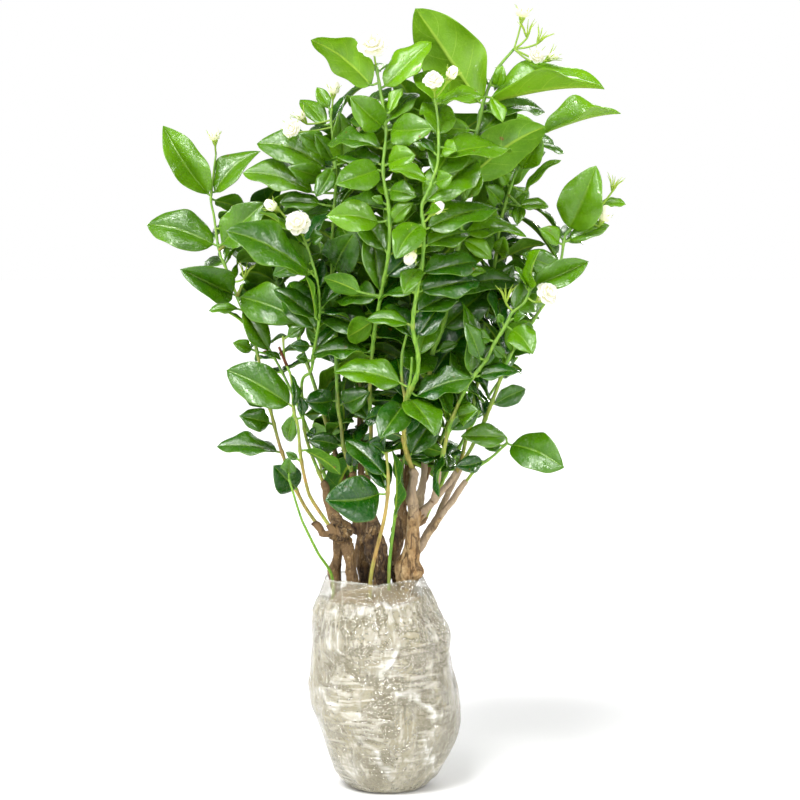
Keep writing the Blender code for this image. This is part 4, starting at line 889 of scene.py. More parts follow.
def finer(name, node, voxel, rounds, bumps, knots, inset, finish, slot):
    """A finer copy of a CAD node, with bumps along its normals and with rounded knots."""
    piece = remeshed(name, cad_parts[node].data, voxel, rounds)
    mesh = piece.data
    inside = face_tree(mesh)
    chances = random.Random(name)
    centres = [(mesh.vertices[chances.randrange(len(mesh.vertices))].co.copy(), KNOT_RADIUS,
                KNOT_HEIGHT) for k in range(knots)]
    centres += [(seen(*place), radius * MM, height * MM)
                for place, radius, height in BURLS.get(node, ())]
    girth = []
    for vertex, normal in zip(mesh.vertices, [v.normal.copy() for v in mesh.vertices]):
        shift = 0.0
        for scale, height in bumps:
            spot = Vector((vertex.co.x, vertex.co.y, vertex.co.z * GRAIN_STRETCH)) / scale
            shift += noise.noise(spot) * height
        for centre, radius, height in centres:
            near = (vertex.co - centre).length / radius
            shift += height * math.exp(-near * near)
        through = inside.ray_cast(vertex.co - normal * 0.2 * MM, -normal)[3] or FULL_GIRTH
        girth.append(min(through / FULL_GIRTH, 1))
        vertex.co += normal * (shift * girth[-1] ** 1.5 - inset)
        if slot == "soil" and vertex.co.z > SOIL_TOP - 4 * MM:
            reach = math.hypot(vertex.co.x - MOUND_X, vertex.co.y) / MOUND_REACH
            vertex.co.z += MOUND * max(1 - reach ** 4, 0)
    mesh.attributes.new("girth", "FLOAT", "POINT").data.foreach_set("value", girth)
    mesh.polygons.foreach_set("use_smooth", [True] * len(mesh.polygons))
    mesh.materials.clear()
    mesh.materials.append(finish)
    stand_in(piece, node)


# The film round the root ball: its outline, as height, half width and middle in X, all in mm
BALL_OUTLINE = ((0, 3, -4), (0, 12, -4), (0, 21, -4), (0, 27, -4), (4, 33.5, -4),
                (16, 42.5, -3), (42, 52.5, -2.5), (62, 56.5, -4.5), (94, 54.6, -7.5),
                (118, 53.5, -8.6), (129, 50, -11), (140, 46, -13.7), (162, 38, -14.5))
BALL_DEPTH = 0.95
FILM_SIDES = 300
FILM_ROW = 1.25               # mm between the rings of its mesh
FILM_THICKNESS = 0.3 * MM
WRAP_TOP = 148                # mm up to which the ball has the most layers
RIM = 160.5                   # mm above which the film is its milky rim
CRINKLES = ((0.018, 3, 21), (0.014, 8, -13))   # in radii, number round, and mm of lean
BULGE_SIZE = 32
BULGE_HEIGHT = 1.6
FACETS = ((21, 1.3, 0.3), (10, 0.5, -0.5))   # size, height and slant
FACET_EDGE = 0.08             # how near to its neighbour a facet is creased
PLEATS = 19                   # round the gathered neck
PLEAT_START = 118             # mm up
PLEAT_REACH = 30              # mm over which they grow full
FOLD_WIDTH = 3.4              # pixels
# how milky and whitened by painted highlight the ridge of a fold is
FOLD_MILK_AND_HIGHLIGHT = 0.95

# Both ends of each fold in pixels and its height in mm, then middles and half sizes in pixels of
# milky places, which are partly painted highlight
FOLDS = (((405, 640), (375, 680), 1.6), ((358, 735), (395, 780), 1.4),
         ((422, 735), (437, 775), 1.4), ((415, 695), (440, 722), 1.2),
         ((388, 692), (418, 696), 1.0), ((315, 687), (340, 709), 1.2),
         ((350, 613), (412, 598), 0.8))
MILKY_HIGHLIGHTS = ((337, 614, 14, 6), (336, 642, 10, 10), (384, 672, 14, 10), (352, 768, 14, 8),
         (428, 755, 7, 20))


def between(low, value, high):
    return min(max(value, low), high)


def fold_height(u, v, start, end):
    """How much of a fold's ridge stands at (u, v), from 0 to 1: none past its ends."""
    du, dv = end[0] - start[0], end[1] - start[1]
    share = ((u - start[0]) * du + (v - start[1]) * dv) / (du * du + dv * dv)
    if not 0 < share < 1:
        return 0.0
    aside = math.hypot(u - start[0] - du * share, v - start[1] - dv * share)
    return math.exp(-(aside / FOLD_WIDTH) ** 2) * math.sin(math.pi * share) ** 0.5


def film_point(height, half, middle, angle):
    """A point of the film's outer face, with its milkiness and painted highlight, and how thickly
    it is wrapped.
    """
    crinkle = sum(share * math.sin(count * angle + height / lean)
                  for share, count, lean in CRINKLES)
    radius = half * (1 + crinkle * min(height / 10, 1))
    out = Vector((math.cos(angle), math.sin(angle) * BALL_DEPTH, 0))
    spot = Vector((out.x * radius, out.y * radius, height))
    low = min(height / 14, 1)
    radius += noise.noise(spot / BULGE_SIZE) * BULGE_HEIGHT * low
    warp = noise.noise(spot / 40) * 26

    # flat facets, creased where they meet
    crease = 0.0
    for number, (size, rise, slant) in enumerate(FACETS):
        place = Vector((spot.x, spot.y + 40 * number, (height + slant * spot.x + warp) * 1.5))
        near, next_near = noise.voronoi(place / size)[0][:2]
        radius += (0.5 - near) * rise * low
        crease = max(crease, (1 - (next_near - near) / FACET_EDGE) * rise * low * 0.22)

    # the uneven top edge of the outer layers, and the pleats of the neck
    edge = WRAP_TOP + 3 * math.cos(angle) + 2 * math.sin(angle * 2 + 1) + warp / 8
    wrapped = between(0, (edge - height) / 1.5, 1)
    radius += 0.8 * wrapped - 0.8
    neck = between(0, (height - PLEAT_START) / PLEAT_REACH, 1)
    pleat = math.sin(PLEATS * angle + 3 * noise.noise(spot / 18) + height * 0.03)
    radius += neck * (1.3 * abs(pleat) - 0.7)

    # folds and milky places, partly painted highlight, that the photograph shows
    point = Vector((middle, 0, height)) * MM + out * radius * MM
    if point.y < 0:
        u, v = shown_at(point)
        wander = Vector((noise.noise(spot / 9), noise.noise(spot / 11))) * 7
        for start, end, rise in FOLDS:
            stands = fold_height(u + wander.x, v + wander.y, start, end)
            point += out * rise * MM * stands
            crease = max(crease, stands * FOLD_MILK_AND_HIGHLIGHT)
        u, v = u + wander.x * 1.5, v + wander.y * 1.5
        # painted highlight with milky film: whiter places
        for middle_u, middle_v, wide, high in MILKY_HIGHLIGHTS:
            reach = ((u - middle_u) / wide) ** 2 + ((v - middle_v) / high) ** 2
            crease = max(crease, 0.5 * math.exp(-reach))
    return point, max(crease, 0), wrapped


def film_rings():
    """Rings of the film's outer face, from the middle of its foot to its ragged rim, and how
    milky it is, partly as painted highlight, and how thickly wrapped it is at their points."""
    profile = [Vector(row) for row in BALL_OUTLINE]
    line = smooth_line(profile, [0] * len(profile), FILM_ROW)[0]
    rings = []
    for height, half, middle in line:
        ring = []
        for angle in turns(FILM_SIDES):
            point, crease, wrapped = film_point(max(height, 0), half, middle, angle)
            ragged = 0.8 * math.sin(5 * angle) + 1.4 * noise.noise(point * 90)
            point.z = max(point.z + max((height - 150) / 12, 0) * ragged * MM, 0)
            ring.append((*point, max(crease, 0.6 * (height > RIM)), wrapped))
        rings.append(ring)
    rings = np.array(rings)
    return rings[..., :3], rings[..., 3], rings[..., 4]


def add_film(pile):
    """The film as a thin shell: its outer face going up and its inner face going down."""
    outer, crease, layers = film_rings()
    along = np.gradient(outer, axis=0)
    round_it = np.roll(outer, -1, axis=1) - np.roll(outer, 1, axis=1)
    normal = np.cross(round_it, along)
    normal /= np.linalg.norm(normal, axis=2, keepdims=True)
    inner = outer - normal * FILM_THICKNESS
    pile.loft(np.concatenate([outer, inner[::-1]]), 0,
              crease=np.concatenate([crease, crease[::-1]]),
              layers=np.concatenate([layers, layers[::-1]]))


# Materials
def srgb(red, green, blue):
    """A colour from its 0 to 255 values on a screen."""
    linear = []
    for value in (red / 255, green / 255, blue / 255):
        linear.append(value / 12.92 if value < 0.04 else ((value + 0.055) / 1.055) ** 2.4)
    return (*linear, 1.0)


def shader_node(tree, kind, inputs=(), **settings):
    """A new shader node, its settings made and its inputs set or linked."""
    made = tree.nodes.new("ShaderNode" + kind)
    for name, value in settings.items():
        setattr(made, name, value)
    for key, value in dict(inputs).items():
        if isinstance(value, bpy.types.NodeSocket):
            tree.links.new(value, made.inputs[key])
        else:
            made.inputs[key].default_value = value
    return made


class Look:
    """A material, built node by node, with the colour that it has so far."""

    def __init__(self, name, **constants):
        self.material = bpy.data.materials.new(name)
        self.material.use_nodes = True
        self.tree = self.material.node_tree
        self.shader = self.tree.nodes["Principled BSDF"]
        self.place = self.node("TexCoord").outputs["Object"]
        for key, value in constants.items():
            self.shader.inputs[key.replace("_", " ")].default_value = value

    def node(self, kind, inputs=(), **settings):
        return shader_node(self.tree, kind, inputs, **settings)

    def value(self, name):
        """A value kept at the mesh's points."""
        return self.node("Attribute", attribute_name=name).outputs["Fac"]

    def math(self, operation, first, second=0.0, clamp=False):
        return self.node("Math", {0: first, 1: second}, operation=operation,
                         use_clamp=clamp).outputs[0]

    def times(self, first, second):
        return self.math("MULTIPLY", first, second)

    def plus(self, first, second, clamp=False):
        return self.math("ADD", first, second, clamp)

    def ranged(self, value, low, high, out_low=0.0, out_high=1.0):
        """A value's range stretched to another, and cut off at its ends."""
        return self.node("MapRange", {"Value": value, "From Min": low, "From Max": high,
                                      "To Min": out_low, "To Max": out_high}).outputs[0]

    def noise(self, scale, detail=3.0, stretch=None, distortion=0.0):
        """Noise with a scale in waves to the metre."""
        place = self.place
        if stretch:
            place = self.node("Mapping", {"Vector": place, "Scale": stretch}).outputs[0]
        return self.node("TexNoise", {"Vector": place, "Scale": scale, "Detail": detail,
                                      "Distortion": distortion}).outputs[0]

    def ridges(self, scale, width=0.06, **settings):
        """Thin winding lines: 1 on them and 0 between them."""
        level = self.math("ABSOLUTE", self.math("SUBTRACT", self.noise(scale, **settings), 0.5))
        return self.ranged(level, width, 0.0)

    def streaks(self, scale, upright):
        """Noise in streaks that lie level, or stand upright where upright is 1."""
        level = self.noise(scale, stretch=(0.28, 0.28, 1.9), distortion=0.4)
        steep = self.noise(scale, stretch=(1.8, 1.8, 0.24), distortion=0.4)
        level = self.times(level, self.math("SUBTRACT", 1.0, upright))
        return self.plus(level, self.times(steep, upright))

    def facets(self, scale, wander):
        """Heights of creased facets, whose edges wander."""
        bends = self.node("TexNoise", {"Vector": self.place, "Scale": scale * 0.4})
        place = self.mix(wander, self.place, bends.outputs["Color"], "ADD")
        return self.node("TexVoronoi", {"Vector": place, "Scale": scale},
                         distance="MANHATTAN").outputs["Distance"]

    def mix(self, share, first, second, blend="MIX"):
        return self.node("Mix", {0: share, 6: first, 7: second}, data_type="RGBA",
                         blend_type=blend).outputs[2]

    def base(self, share, first, second):
        """Starts the colour, somewhere between two."""
        self.colour = self.mix(share, srgb(*first), srgb(*second))

    def paint(self, share, tint, strength=1.0):
        """Lays a tint over the colour so far."""
        if strength < 1:
            share = self.times(share, strength)
        self.colour = self.mix(share, self.colour, srgb(*tint))

    def relief(self, *heights):
        """A normal from heights, each with its depth in mm, one over the other."""
        normal = None
        for height, depth in heights:
            inputs = {"Height": height, "Distance": depth * MM}
            if normal:
                inputs["Normal"] = normal
            normal = self.node("Bump", inputs).outputs[0]
        return normal

    def finished(self, *heights, **sockets):
        """The material, with its colour, its relief if any, and what else is linked."""
        sockets["Base_Color"] = self.colour
        if heights:
            sockets["Normal"] = self.relief(*heights)
        for key, value in sockets.items():
            self.tree.links.new(value, self.shader.inputs[key.replace("_", " ")])
        return self.material


def leaf_look(name, old, young, vein_tint, shine, roughness, rib_share, vein_share):
    """The glossy top or the duller underside of leaves: deep green when old, lime when young,
    with a pale rib, side veins and edge, a net of fine veins, and few brown blemishes."""
    look = Look(name, Specular_IOR_Level=shine)
    wide = look.math("ABSOLUTE", look.value("across"))
    slant = look.times(look.math("POWER", wide, VEIN_CURVE), VEIN_SLANT)
    order = look.times(look.math("SUBTRACT", look.value("along"), slant), VEINS)
    nearness = look.math("ABSOLUTE", look.math("SUBTRACT", look.math("FRACT", order), 0.5))
    side_vein = look.times(look.ranged(nearness, 0.468, 0.496), look.ranged(wide, 0.95, 0.6))
    rib = look.ranged(wide, 0.075, 0.03)
    vein = look.math("MAXIMUM", look.times(rib, rib_share), look.times(side_vein, vein_share))
    net = look.ridges(330.0, 0.05, detail=2.0)
    youth = look.plus(look.value("youth"), look.ranged(look.noise(45.0), 0.3, 0.7, -0.12, 0.12))
    chance = look.ranged(look.value("chance"), 0.0, 1.0, -0.2, 0.2)
    look.base(look.plus(youth, chance, clamp=True), old, young)
    look.paint(look.ranged(wide, 0.92, 1.0, 0.0, 0.15), vein_tint)
    look.paint(look.ranged(look.noise(130.0, 5.0), 0.71, 0.74), (124, 92, 30))
    look.paint(net, vein_tint, vein_share * 0.3)
    look.paint(vein, vein_tint)
    grain = look.noise(420.0, 4.0)
    height = look.plus(look.times(vein, -0.8), look.times(grain, 0.6))
    rough = look.ranged(look.noise(160.0, 2.0), 0.3, 0.7, roughness - 0.07, roughness + 0.1)
    return look.finished((height, 0.35), (net, 0.08), Roughness=rough)


def stem_look():
    """Green stems, browner toward their feet, with fine lengthwise fibres. Flower stalks and
    cups are paler."""
    look = Look("stem_skin", Specular_IOR_Level=0.4)
    fibres = look.noise(700.0, stretch=(1.0, 1.0, 0.15))
    patches = look.ranged(look.noise(60.0, 2.0), 0.3, 0.7, -0.15, 0.15)
    youth = look.plus(look.value("youth"), patches, clamp=True)
    grain = look.ranged(fibres, 0.3, 0.7)
    woody = look.mix(grain, srgb(140, 108, 48), srgb(196, 160, 84))
    fresh = look.mix(grain, srgb(84, 140, 22), srgb(142, 184, 52))
    look.colour = look.mix(look.ranged(youth, 0.15, 0.5), woody, fresh)
    look.paint(look.ranged(look.value("chance"), 0.5, 0.9), (172, 200, 62))
    return look.finished((fibres, 0.2), Roughness=look.ranged(fibres, 0.2, 0.8, 0.5, 0.7))


def dry_look():
    """Dead twigs, red-brown and cracked."""
    look = Look("dry_twig", Specular_IOR_Level=0.2)
    fibres = look.ridges(500.0, 0.1, stretch=(1.0, 1.0, 0.3))
    look.base(look.noise(200.0, 2.0), (92, 44, 22), (150, 84, 44))
    look.paint(fibres, (52, 28, 16), 0.6)
    return look.finished((fibres, 0.3), Roughness=look.ranged(fibres, 0.0, 1.0, 0.7, 0.9))


def bark_look(name, dark, light, crack, young):
    """Bark with lengthwise cracks and pale flakes, in dark and light patches, smoother and greyer
    where the wood is thin."""
    look = Look(name, Specular_IOR_Level=0.25)
    age = look.ranged(look.value("girth"), 0.45, 0.85)
    cracks = look.ridges(150.0, 0.05, detail=5.0, stretch=(1.0, 1.0, 0.3), distortion=0.5)
    patches = look.noise(75.0, 5.0, distortion=0.4)
    grain = look.noise(700.0, 4.0, stretch=(1.0, 1.0, 0.5))
    flakes = look.times(look.ranged(grain, 0.45, 0.3), look.ranged(patches, 0.45, 0.6))
    look.base(look.ranged(patches, 0.38, 0.62), dark, light)
    look.paint(look.ranged(grain, 0.4, 0.7, 0.0, 0.5), crack)
    look.paint(cracks, crack, 0.85)
    look.paint(flakes, (208, 190, 156), 0.6)
    look.paint(look.ranged(age, 0.0, 1.0, 0.7, 0.0), young)
    depth = look.times(look.times(cracks, age), -1.0)
    return look.finished((depth, 1.2), (patches, 3.0), (grain, 0.7),
                         Roughness=look.ranged(grain, 0.2, 0.8, 0.7, 0.92))


def soil_look():
    """Light brown soil with fibres and crumbs."""
    look = Look("soil_crumbs", Specular_IOR_Level=0.2)
    crumbs = look.noise(260.0, 5.0)
    fibres = look.ridges(240.0, 0.04, stretch=(1.0, 1.0, 0.4))
    look.base(look.ranged(look.noise(38.0), 0.35, 0.65), (112, 86, 54), (160, 138, 102))
    look.paint(look.ranged(crumbs, 0.35, 0.75, 0.0, 0.6), (78, 60, 40))
    look.paint(fibres, (190, 172, 138), 0.5)
    return look.finished((crumbs, 1.5), Roughness=look.ranged(crumbs, 0.3, 0.7, 0.8, 0.95))


def film_look():
    """Clear stretch film in layers: milky where it is creased, partly as painted highlight, with
    straight wrinkles that lie or stand and carry painted highlights on their crests, a few folds
    with painted highlights along them, and sharp glints."""
    look = Look("stretch_film", Specular_IOR_Level=0.3, Coat_Weight=1.0, Coat_IOR=2.2,
                Coat_Roughness=0.04)
    upright = look.ranged(look.noise(16.0, 2.0, distortion=0.5), 0.4, 0.6)
    ripples = look.streaks(170.0, upright)
    patches = look.noise(34.0, 4.0, distortion=1.2)
    folds = look.ridges(40.0, 0.05, detail=2.0, stretch=(1.0, 1.0, 0.7), distortion=0.5)
    crease = look.times(look.value("crease"), look.ranged(ripples, 0.42, 0.58, 0.45, 1.0))
    layers = look.ranged(look.value("layers"), 0.0, 1.0, 0.34, 1.0)
    milk = look.times(look.ranged(patches, 0.4, 0.6, 0.52, 0.64), layers)
    milk = look.plus(milk, look.times(crease, 0.4), clamp=True)
    look.base(look.ranged(patches, 0.36, 0.64), (138, 130, 94), (166, 158, 126))
    # painted highlight: the ripples' crests are painted pale cream
    look.paint(look.ranged(ripples, 0.52, 0.62, 0.0, 0.5), (236, 232, 216))
    # painted highlight along the winding fold lines
    look.paint(folds, (236, 234, 222), 0.22)
    # whitened where milky: partly the film's own layers, partly painted highlight
    look.paint(crease, (246, 246, 242), 0.7)
    glossy = look.relief((look.facets(170.0, 0.05), 1.5), (folds, 1.2), (ripples, 3.6))
    rough = look.ranged(look.noise(420.0, distortion=1.0), 0.3, 0.7, 0.25, 0.4)
    return look.finished((folds, 0.6), (ripples, 1.2), Roughness=rough, Alpha=milk,
                         Coat_Normal=glossy)


def petal_look():
    """White petals, cream toward their feet, with fine veins. A faint painted glow stands in for
    the light that thin petals let through, so that their shaded sides stay pale."""
    # painted glow: the emission lightens the petals' shaded sides
    look = Look("petal_skin", Specular_IOR_Level=0.3, Subsurface_Weight=0.6,
                Subsurface_Scale=5 * MM, Subsurface_Radius=(1.0, 0.95, 0.7),
                Emission_Color=srgb(250, 246, 222), Emission_Strength=0.16)
    veins = look.ridges(260.0, 0.08, stretch=(1.0, 1.0, 0.5))
    look.base(look.ranged(look.value("along"), 0.05, 0.6), (212, 218, 132), (242, 239, 222))
    look.paint(veins, (226, 222, 176), 0.25)
    return look.finished((veins, 0.12), Roughness=look.ranged(veins, 0.0, 1.0, 0.45, 0.6))


# More leaves behind those that the photograph shows
FILL_SPACING = 17 * MM
FILL_LENGTH = (34, 62)        # shortest and longest, in mm
FILL_GAP = 1.4 * MM           # kept clear on both sides of an added leaf
FILL_TRIES = [(scale, math.radians(turn), math.radians(rise)) for scale in (1.0, 0.8, 0.62)
              for turn in (0, 30, -30, 60, -60, 90, -90) for rise in (12, 40, -16)]
FILL_TILT = 0.7               # how far added leaves turn their faces outward
LEAST_BACKWARD = 0.3          # of a leaf that runs back, in its lengths
TIP_LEAVES = ((0, 20), (13, 24), (27, 26))   # distance from a stem's end and length, in mm
TIP_HEADINGS = (50, 130)      # degrees
TIP_RISE = 14


def sheet_tree(leaf):
    """A search tree of a blade's plain sheet, doubled to keep a gap on both its sides."""
    normal = leaf_axes(leaf)[2]
    rows = blade_rows(leaf)
    points, faces = [], []
    for offset in (-FILL_GAP, FILL_GAP):
        for near, far in zip(rows, rows[1:]):
            corners = [near[0], near[-1], far[-1]]
            if len(far) > 1:
                corners.append(far[0])
            faces.append(tuple(range(len(points), len(points) + len(corners))))
            points += [point + normal * offset for point in corners]
    return BVHTree.FromPolygons(points, faces)


def has_room(leaf, trees):
    """True where a leaf is clear of all others. It then joins them."""
    tree = sheet_tree(leaf)
    if any(tree.overlap(other) for other in trees):
        return False
    trees.append(tree)
    return True


def fill_leaf(root, way, heading, rise, length, aspect):
    """A leaf to add, or None where it would show past the canopy or the solids' box."""
    leaf = rule_leaf(root, way, heading, rise, length, aspect)
    if leaf is None:
        return None
    low, high = cad_box
    if not all(low[i] < leaf.tip[i] < high[i] for i in range(3)):
        return None
    outward = Vector((root.x, root.y, 0)).normalized()
    return leaf._replace(normal=leaf.normal.normalized() + outward * FILL_TILT)


def goes_back(leaf):
    """True where a leaf runs back from its stem, behind what the photograph shows."""
    return leaf.tip.y - leaf.root.y > LEAST_BACKWARD * (leaf.tip - leaf.root).length


def fillers(route, heading, behind, trees, chances):
    """Opposite pairs of added leaves along a stem, where nothing else is."""
    added = []
    for k in range(int(route_length(route) / FILL_SPACING)):
        root, way = travelled(route, FILL_SPACING * (k + chances.uniform(0.4, 0.9)))
        for half_turn in (0, math.pi):
            length = chances.uniform(*FILL_LENGTH) * MM
            aspect = chances.uniform(*GROWN_ASPECT)
            angle = heading + half_turn + (k % 2) * math.pi / 2
            angle += chances.uniform(-HEADING_SPREAD, HEADING_SPREAD)
            for scale, turn, rise in FILL_TRIES:
                leaf = fill_leaf(root, way, angle + turn, rise, length * scale, aspect)
                if leaf is None or behind and not goes_back(leaf):
                    continue
                if has_room(leaf, trees):
                    added.append(leaf)
                    break
    return added


def tip_leaves(route, trees):
    """Small leaves that run back from a stem's end, which the rule for back stems left bare."""
    added = []
    for down, length in TIP_LEAVES:
        root, way = travelled(route, route_length(route) - down * MM)
        for heading in TIP_HEADINGS:
            leaf = grown_leaf(root, way, math.radians(heading), math.radians(TIP_RISE),
                              length * MM, LEAF_ASPECT)
            if has_room(leaf, trees):
                added.append(leaf)
    return added


# The plant. A stem's youth is from 0 for brown to 1 for green, and a leaf's from 0 for deep green
# to 1 for lime. Leaves are younger higher up.
STEM_YOUTH = {"shoot_yellow_cane": 0.3, "shoot_left_outer": 0.6, "shoot_left_canes": 0.5}
OTHER_STEM_YOUTH = 0.9
LOW_LEAVES, HIGH_LEAVES = 0.27, 0.57   # metres
LOW_YOUTH, YOUTH_RISE = 0.22, 0.62
LEAF_YOUTH = {"shoot_left_middle": -0.25, "shoot_upper_left": -0.12}   # more than others
# painted shade: added leaves, inside and behind the canopy, are made this much deeper green
ADDED_LEAF_SHADE = -0.25
OPEN_CANES = "shoot_left_canes"   # its dead twig is dry, and no leaves are added
FLOWER_SEAT = CALYX_LENGTH + TOUCH_GAP - 0.6 * MM
TRUNKS = ("trunk_left", "trunk_middle", "trunk_right", "trunk_back_left", "trunk_back_right")
PALE_TRUNK = "trunk_right"


def read_shoots():
    """The routes of all stems, and their leaves as the solids have them, with None for a leaf
    that they don't have. They are drawn in the order of the solids' source."""
    routes, leaves = {}, {}
    for shoot in SHOOTS:
        tree = point_tree(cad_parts[shoot.name].data)
        route = [seen(*place) for place in shoot.stem]
        routes[shoot.name] = route
        leaves[shoot.name] = [found_leaf((read_leaf(row, route, *tries) for tries in leaf_tries()),
                                         tree) for row in shoot.leaves]
    for name, foot, shoot in back_shoots():
        tree = point_tree(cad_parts[name].data)
        routes[name] = back_route(foot, *shoot)
        leaves[name] = [found_leaf(rule_tries(*place), tree)
                        for place in rule_places(routes[name], shoot[0])]
    return routes, leaves


def more_leaves(routes, leaves):
    """The leaves that are added to each shoot."""
    trees = [face_tree(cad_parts[name].data) for name in routes]
    chances = random.Random(11)
    extra = {}
    for name, foot, shoot in back_shoots():
        extra[name] = fillers(routes[name], math.radians(shoot[0]), False, trees, chances)
        if leaves[name][-1] is None and leaves[name][-2] is None:
            extra[name] += tip_leaves(routes[name], trees)
    for shoot in SHOOTS:
        if shoot.name != OPEN_CANES:
            extra[shoot.name] = fillers(routes[shoot.name], chances.uniform(0, 3), True, trees,
                                        chances)
    return extra


def add_stems(pile, name, route, roots):
    """The stem of a shoot, down to what carries it, and its twigs."""
    shoot = next((shoot for shoot in SHOOTS if shoot.name == name), None)
    radii = tapered(shoot.girth if shoot else BACK_STEM_GIRTH, len(route))
    if route[0].z < CANE_TOP:
        foot = Vector((route[0].x, route[0].y, SOIL_TOP - 5 * MM))
    else:
        foot = route[0] - (route[1] - route[0]).normalized() * 3 * MM
    youth = STEM_YOUTH.get(name, OTHER_STEM_YOUTH)
    add_stem(pile, [foot] + route, radii[:1] + radii, roots, youth)
    for twig in shoot.twigs if shoot else ():
        line = [seen(*point) for point in twig]
        add_stem(pile, line, tapered(TWIG_GIRTH, len(line)), roots, youth, 7,
                 DRY if name == OPEN_CANES else STEM)


def add_shoot(name, route, leaves, extra, green):
    """The piece of a shoot: its stem and twigs, its leaves, and its flowers' stalks and cups."""
    pile = Pile("along", "across", "youth", "chance")
    known = [leaf for leaf in leaves if leaf is not None]
    add_stems(pile, name, route, [leaf.root for leaf in known + extra])
    for number, leaf in enumerate(known + extra):
        height = (leaf.base.z - LOW_LEAVES) / (HIGH_LEAVES - LOW_LEAVES)
        youth = LOW_YOUTH + YOUTH_RISE * height + LEAF_YOUTH.get(name, 0)
        # painted shade of the canopy's inside on the added leaves
        if number >= len(known):
            youth += ADDED_LEAF_SHADE
        add_leaf(pile, leaf, between(0, youth, 1), f"{name} {number}")
    cups = [(owner, kind, cup, middle) for kind, owner, cup, middle, size in BLOOMS]
    cups += [(owner, "spent", cup, towards) for owner, cup, towards in SPENT_CALYCES]
    for owner, kind, cup, towards in cups:
        if owner == name:
            root, seat, turn = calyx_place(route, kind, cup, towards)
            add_calyx(pile, root, seat, turn, kind, f"{name} {cup}")
    pile.made(f"{name}_foliage", green, name, "leaf")


def add_bloom(number, route, kind, cup, middle, size, petals):
    """The piece of a bud or flower, seated in its calyx."""
    pile = Pile("along", "chance")
    seat, turn = calyx_place(route, kind, cup, middle)[1:]
    seat = seat + turn @ Vector((0, 0, FLOWER_SEAT))
    length = math.hypot(middle[0] - cup[0], middle[1] - cup[1]) * PIXEL - CALYX_LENGTH
    if kind == "bud":
        add_bud(pile, size * PIXEL / 2, length, turn, seat)
    else:
        add_flower(pile, kind, size * PIXEL / 2, length, turn, seat, number)
    pile.made(f"bloom_{number:02d}_petals", petals, f"bloom_{number:02d}", "petal")


def add_plant():
    top = leaf_look("leaf_top", old=(14, 76, 0), young=(116, 172, 0), vein_tint=(164, 208, 50),
                    shine=0.5, roughness=0.24, rib_share=0.26, vein_share=0.13)
    under = leaf_look("leaf_under", old=(48, 108, 4), young=(118, 168, 0),
                      vein_tint=(168, 204, 60), shine=0.2, roughness=0.5, rib_share=0.7,
                      vein_share=0.4)
    green = (top, under, stem_look(), dry_look())
    petals = (petal_look(),)
    old_bark = bark_look("old_bark", dark=(76, 56, 34), light=(142, 112, 70),
                         crack=(40, 27, 16), young=(136, 108, 72))
    pale_bark = bark_look("pale_bark", dark=(146, 112, 68), light=(206, 176, 126),
                          crack=(92, 66, 40), young=(184, 166, 142))
    routes, leaves = read_shoots()
    extra = more_leaves(routes, leaves)
    for name, route in routes.items():
        add_shoot(name, route, leaves[name], extra.get(name, []), green)
    for number, (kind, owner, cup, middle, size) in enumerate(BLOOMS, 1):
        add_bloom(number, routes[owner], kind, cup, middle, size, petals)
    for name in TRUNKS:
        finer(f"{name}_bark", name, voxel=1.0 * MM, rounds=4, bumps=BARK_BUMPS,
              knots=TRUNK_KNOTS, inset=0, finish=pale_bark if name == PALE_TRUNK else old_bark,
              slot="bark")
    finer("soil_crumbs", "soil_ball", voxel=2 * MM, rounds=3, bumps=SOIL_BUMPS, knots=0,
          inset=SOIL_INSET, finish=soil_look(), slot="soil")
    pile = Pile("crease", "layers")
    add_film(pile)
    pile.made("film_skin", (film_look(),), "film_wrap", "film")


# Floor, light and camera
FLOOR_REACH = 40
SUN = ((-0.5, -0.9, 1.5), 2.7, math.radians(24))   # place, strength and softness
LAMP_TARGET = Vector((0, 0, 0.3))
LAMPS = (                     # place, size and power
    ("fill", (1.8, -1.4, 1.0), 0.5, 14),
    ("window", (-1.9, -1.2, 0.7), 0.5, 12),
    ("rim", (0.6, 1.9, 1.9), 1.0, 16),
)
SOFTBOXES = (                 # lamps that are seen in glossy surfaces and light nothing else
    ("softbox_left", (-1.3, -2.0, 1.5), 0.8, 84),
    ("softbox_front", (0.3, -2.3, 2.0), 0.5, 46),
    ("softbox_low", (-0.9, -2.3, 0.4), 0.4, 30),
    ("softbox_right", (1.9, -1.6, 0.5), 0.4, 14),
    ("softbox_back", (-1.8, 1.8, 1.2), 0.5, 30),
    ("softbox_side", (2.2, 1.0, 1.2), 0.45, 26),
    ("softbox_rear", (0.6, 2.4, 0.6), 0.35, 16),
)
AMBIENT = 0.65                # strength of the light from all round
REFLECTED = 0.15              # the same in reflections
SENSOR = 36                   # mm
FRAME = 800                   # pixels across the photograph


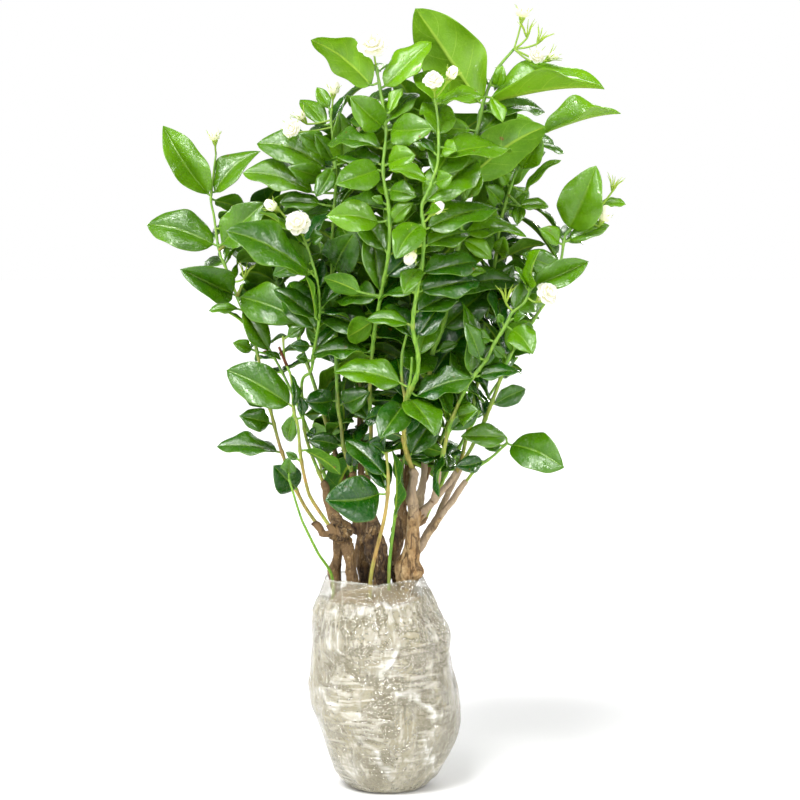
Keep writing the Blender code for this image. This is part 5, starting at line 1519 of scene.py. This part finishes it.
def add_floor():
    mesh = bpy.data.meshes.new("floor")
    corners = ((-1, -1), (1, -1), (1, 1), (-1, 1))
    mesh.from_pydata([(x * FLOOR_REACH, y * FLOOR_REACH, 0) for x, y in corners], [],
                     [(0, 1, 2, 3)])
    look = Look("floor_paint", Specular_IOR_Level=0.1, Roughness=0.9)
    look.base(look.noise(3.0, 2.0), (246, 246, 246), (251, 251, 251))
    mesh.materials.append(look.finished())
    linked("floor", mesh)


def add_lamp(name, place, size, power):
    """A round lamp that shines at the plant."""
    data = bpy.data.lights.new(name, "AREA")
    data.shape = "DISK"
    data.size = size
    data.energy = power
    lamp = linked(name, data)
    lamp.location = place
    lamp.rotation_euler = (LAMP_TARGET - Vector(place)).to_track_quat("-Z", "Y").to_euler()
    return lamp


def add_sun(place, strength, softness):
    """An even light from one side, so that the floor is as bright far off as near."""
    data = bpy.data.lights.new("sun", "SUN")
    data.energy = strength
    data.angle = softness
    linked("sun", data).rotation_euler = (-Vector(place)).to_track_quat("-Z", "Y").to_euler()


def add_world():
    """White to the camera, dimmer as a light from all round, and dimmest in reflections."""
    world = bpy.data.worlds.new("studio")
    bpy.context.scene.world = world
    world.use_nodes = True
    tree = world.node_tree
    path = shader_node(tree, "LightPath").outputs
    light = shader_node(tree, "Mix", {"Factor": path["Is Glossy Ray"], "A": AMBIENT,
                                      "B": REFLECTED})
    shown = shader_node(tree, "Mix", {"Factor": path["Is Camera Ray"],
                                      "A": light.outputs["Result"], "B": 1.0})
    background = tree.nodes["Background"]
    background.inputs["Color"].default_value = (1, 1, 1, 1)
    tree.links.new(shown.outputs["Result"], background.inputs["Strength"])


def add_camera():
    lens = bpy.data.cameras.new("photo_camera")
    lens.sensor_width = SENSOR
    lens.lens = SENSOR * VIEW_DISTANCE / (FRAME * PIXEL)
    camera = linked("photo_camera", lens)
    camera.location = EYE
    camera.rotation_euler = VIEW_FORWARD.to_track_quat("-Z", "Y").to_euler()
    bpy.context.scene.camera = camera


add_plant()
add_floor()
add_sun(*SUN)
for lamp in LAMPS:
    add_lamp(*lamp)
for lamp in SOFTBOXES:
    add_lamp(*lamp).visible_diffuse = False
add_world()
add_camera()
bpy.context.scene.view_settings.view_transform = "Standard"
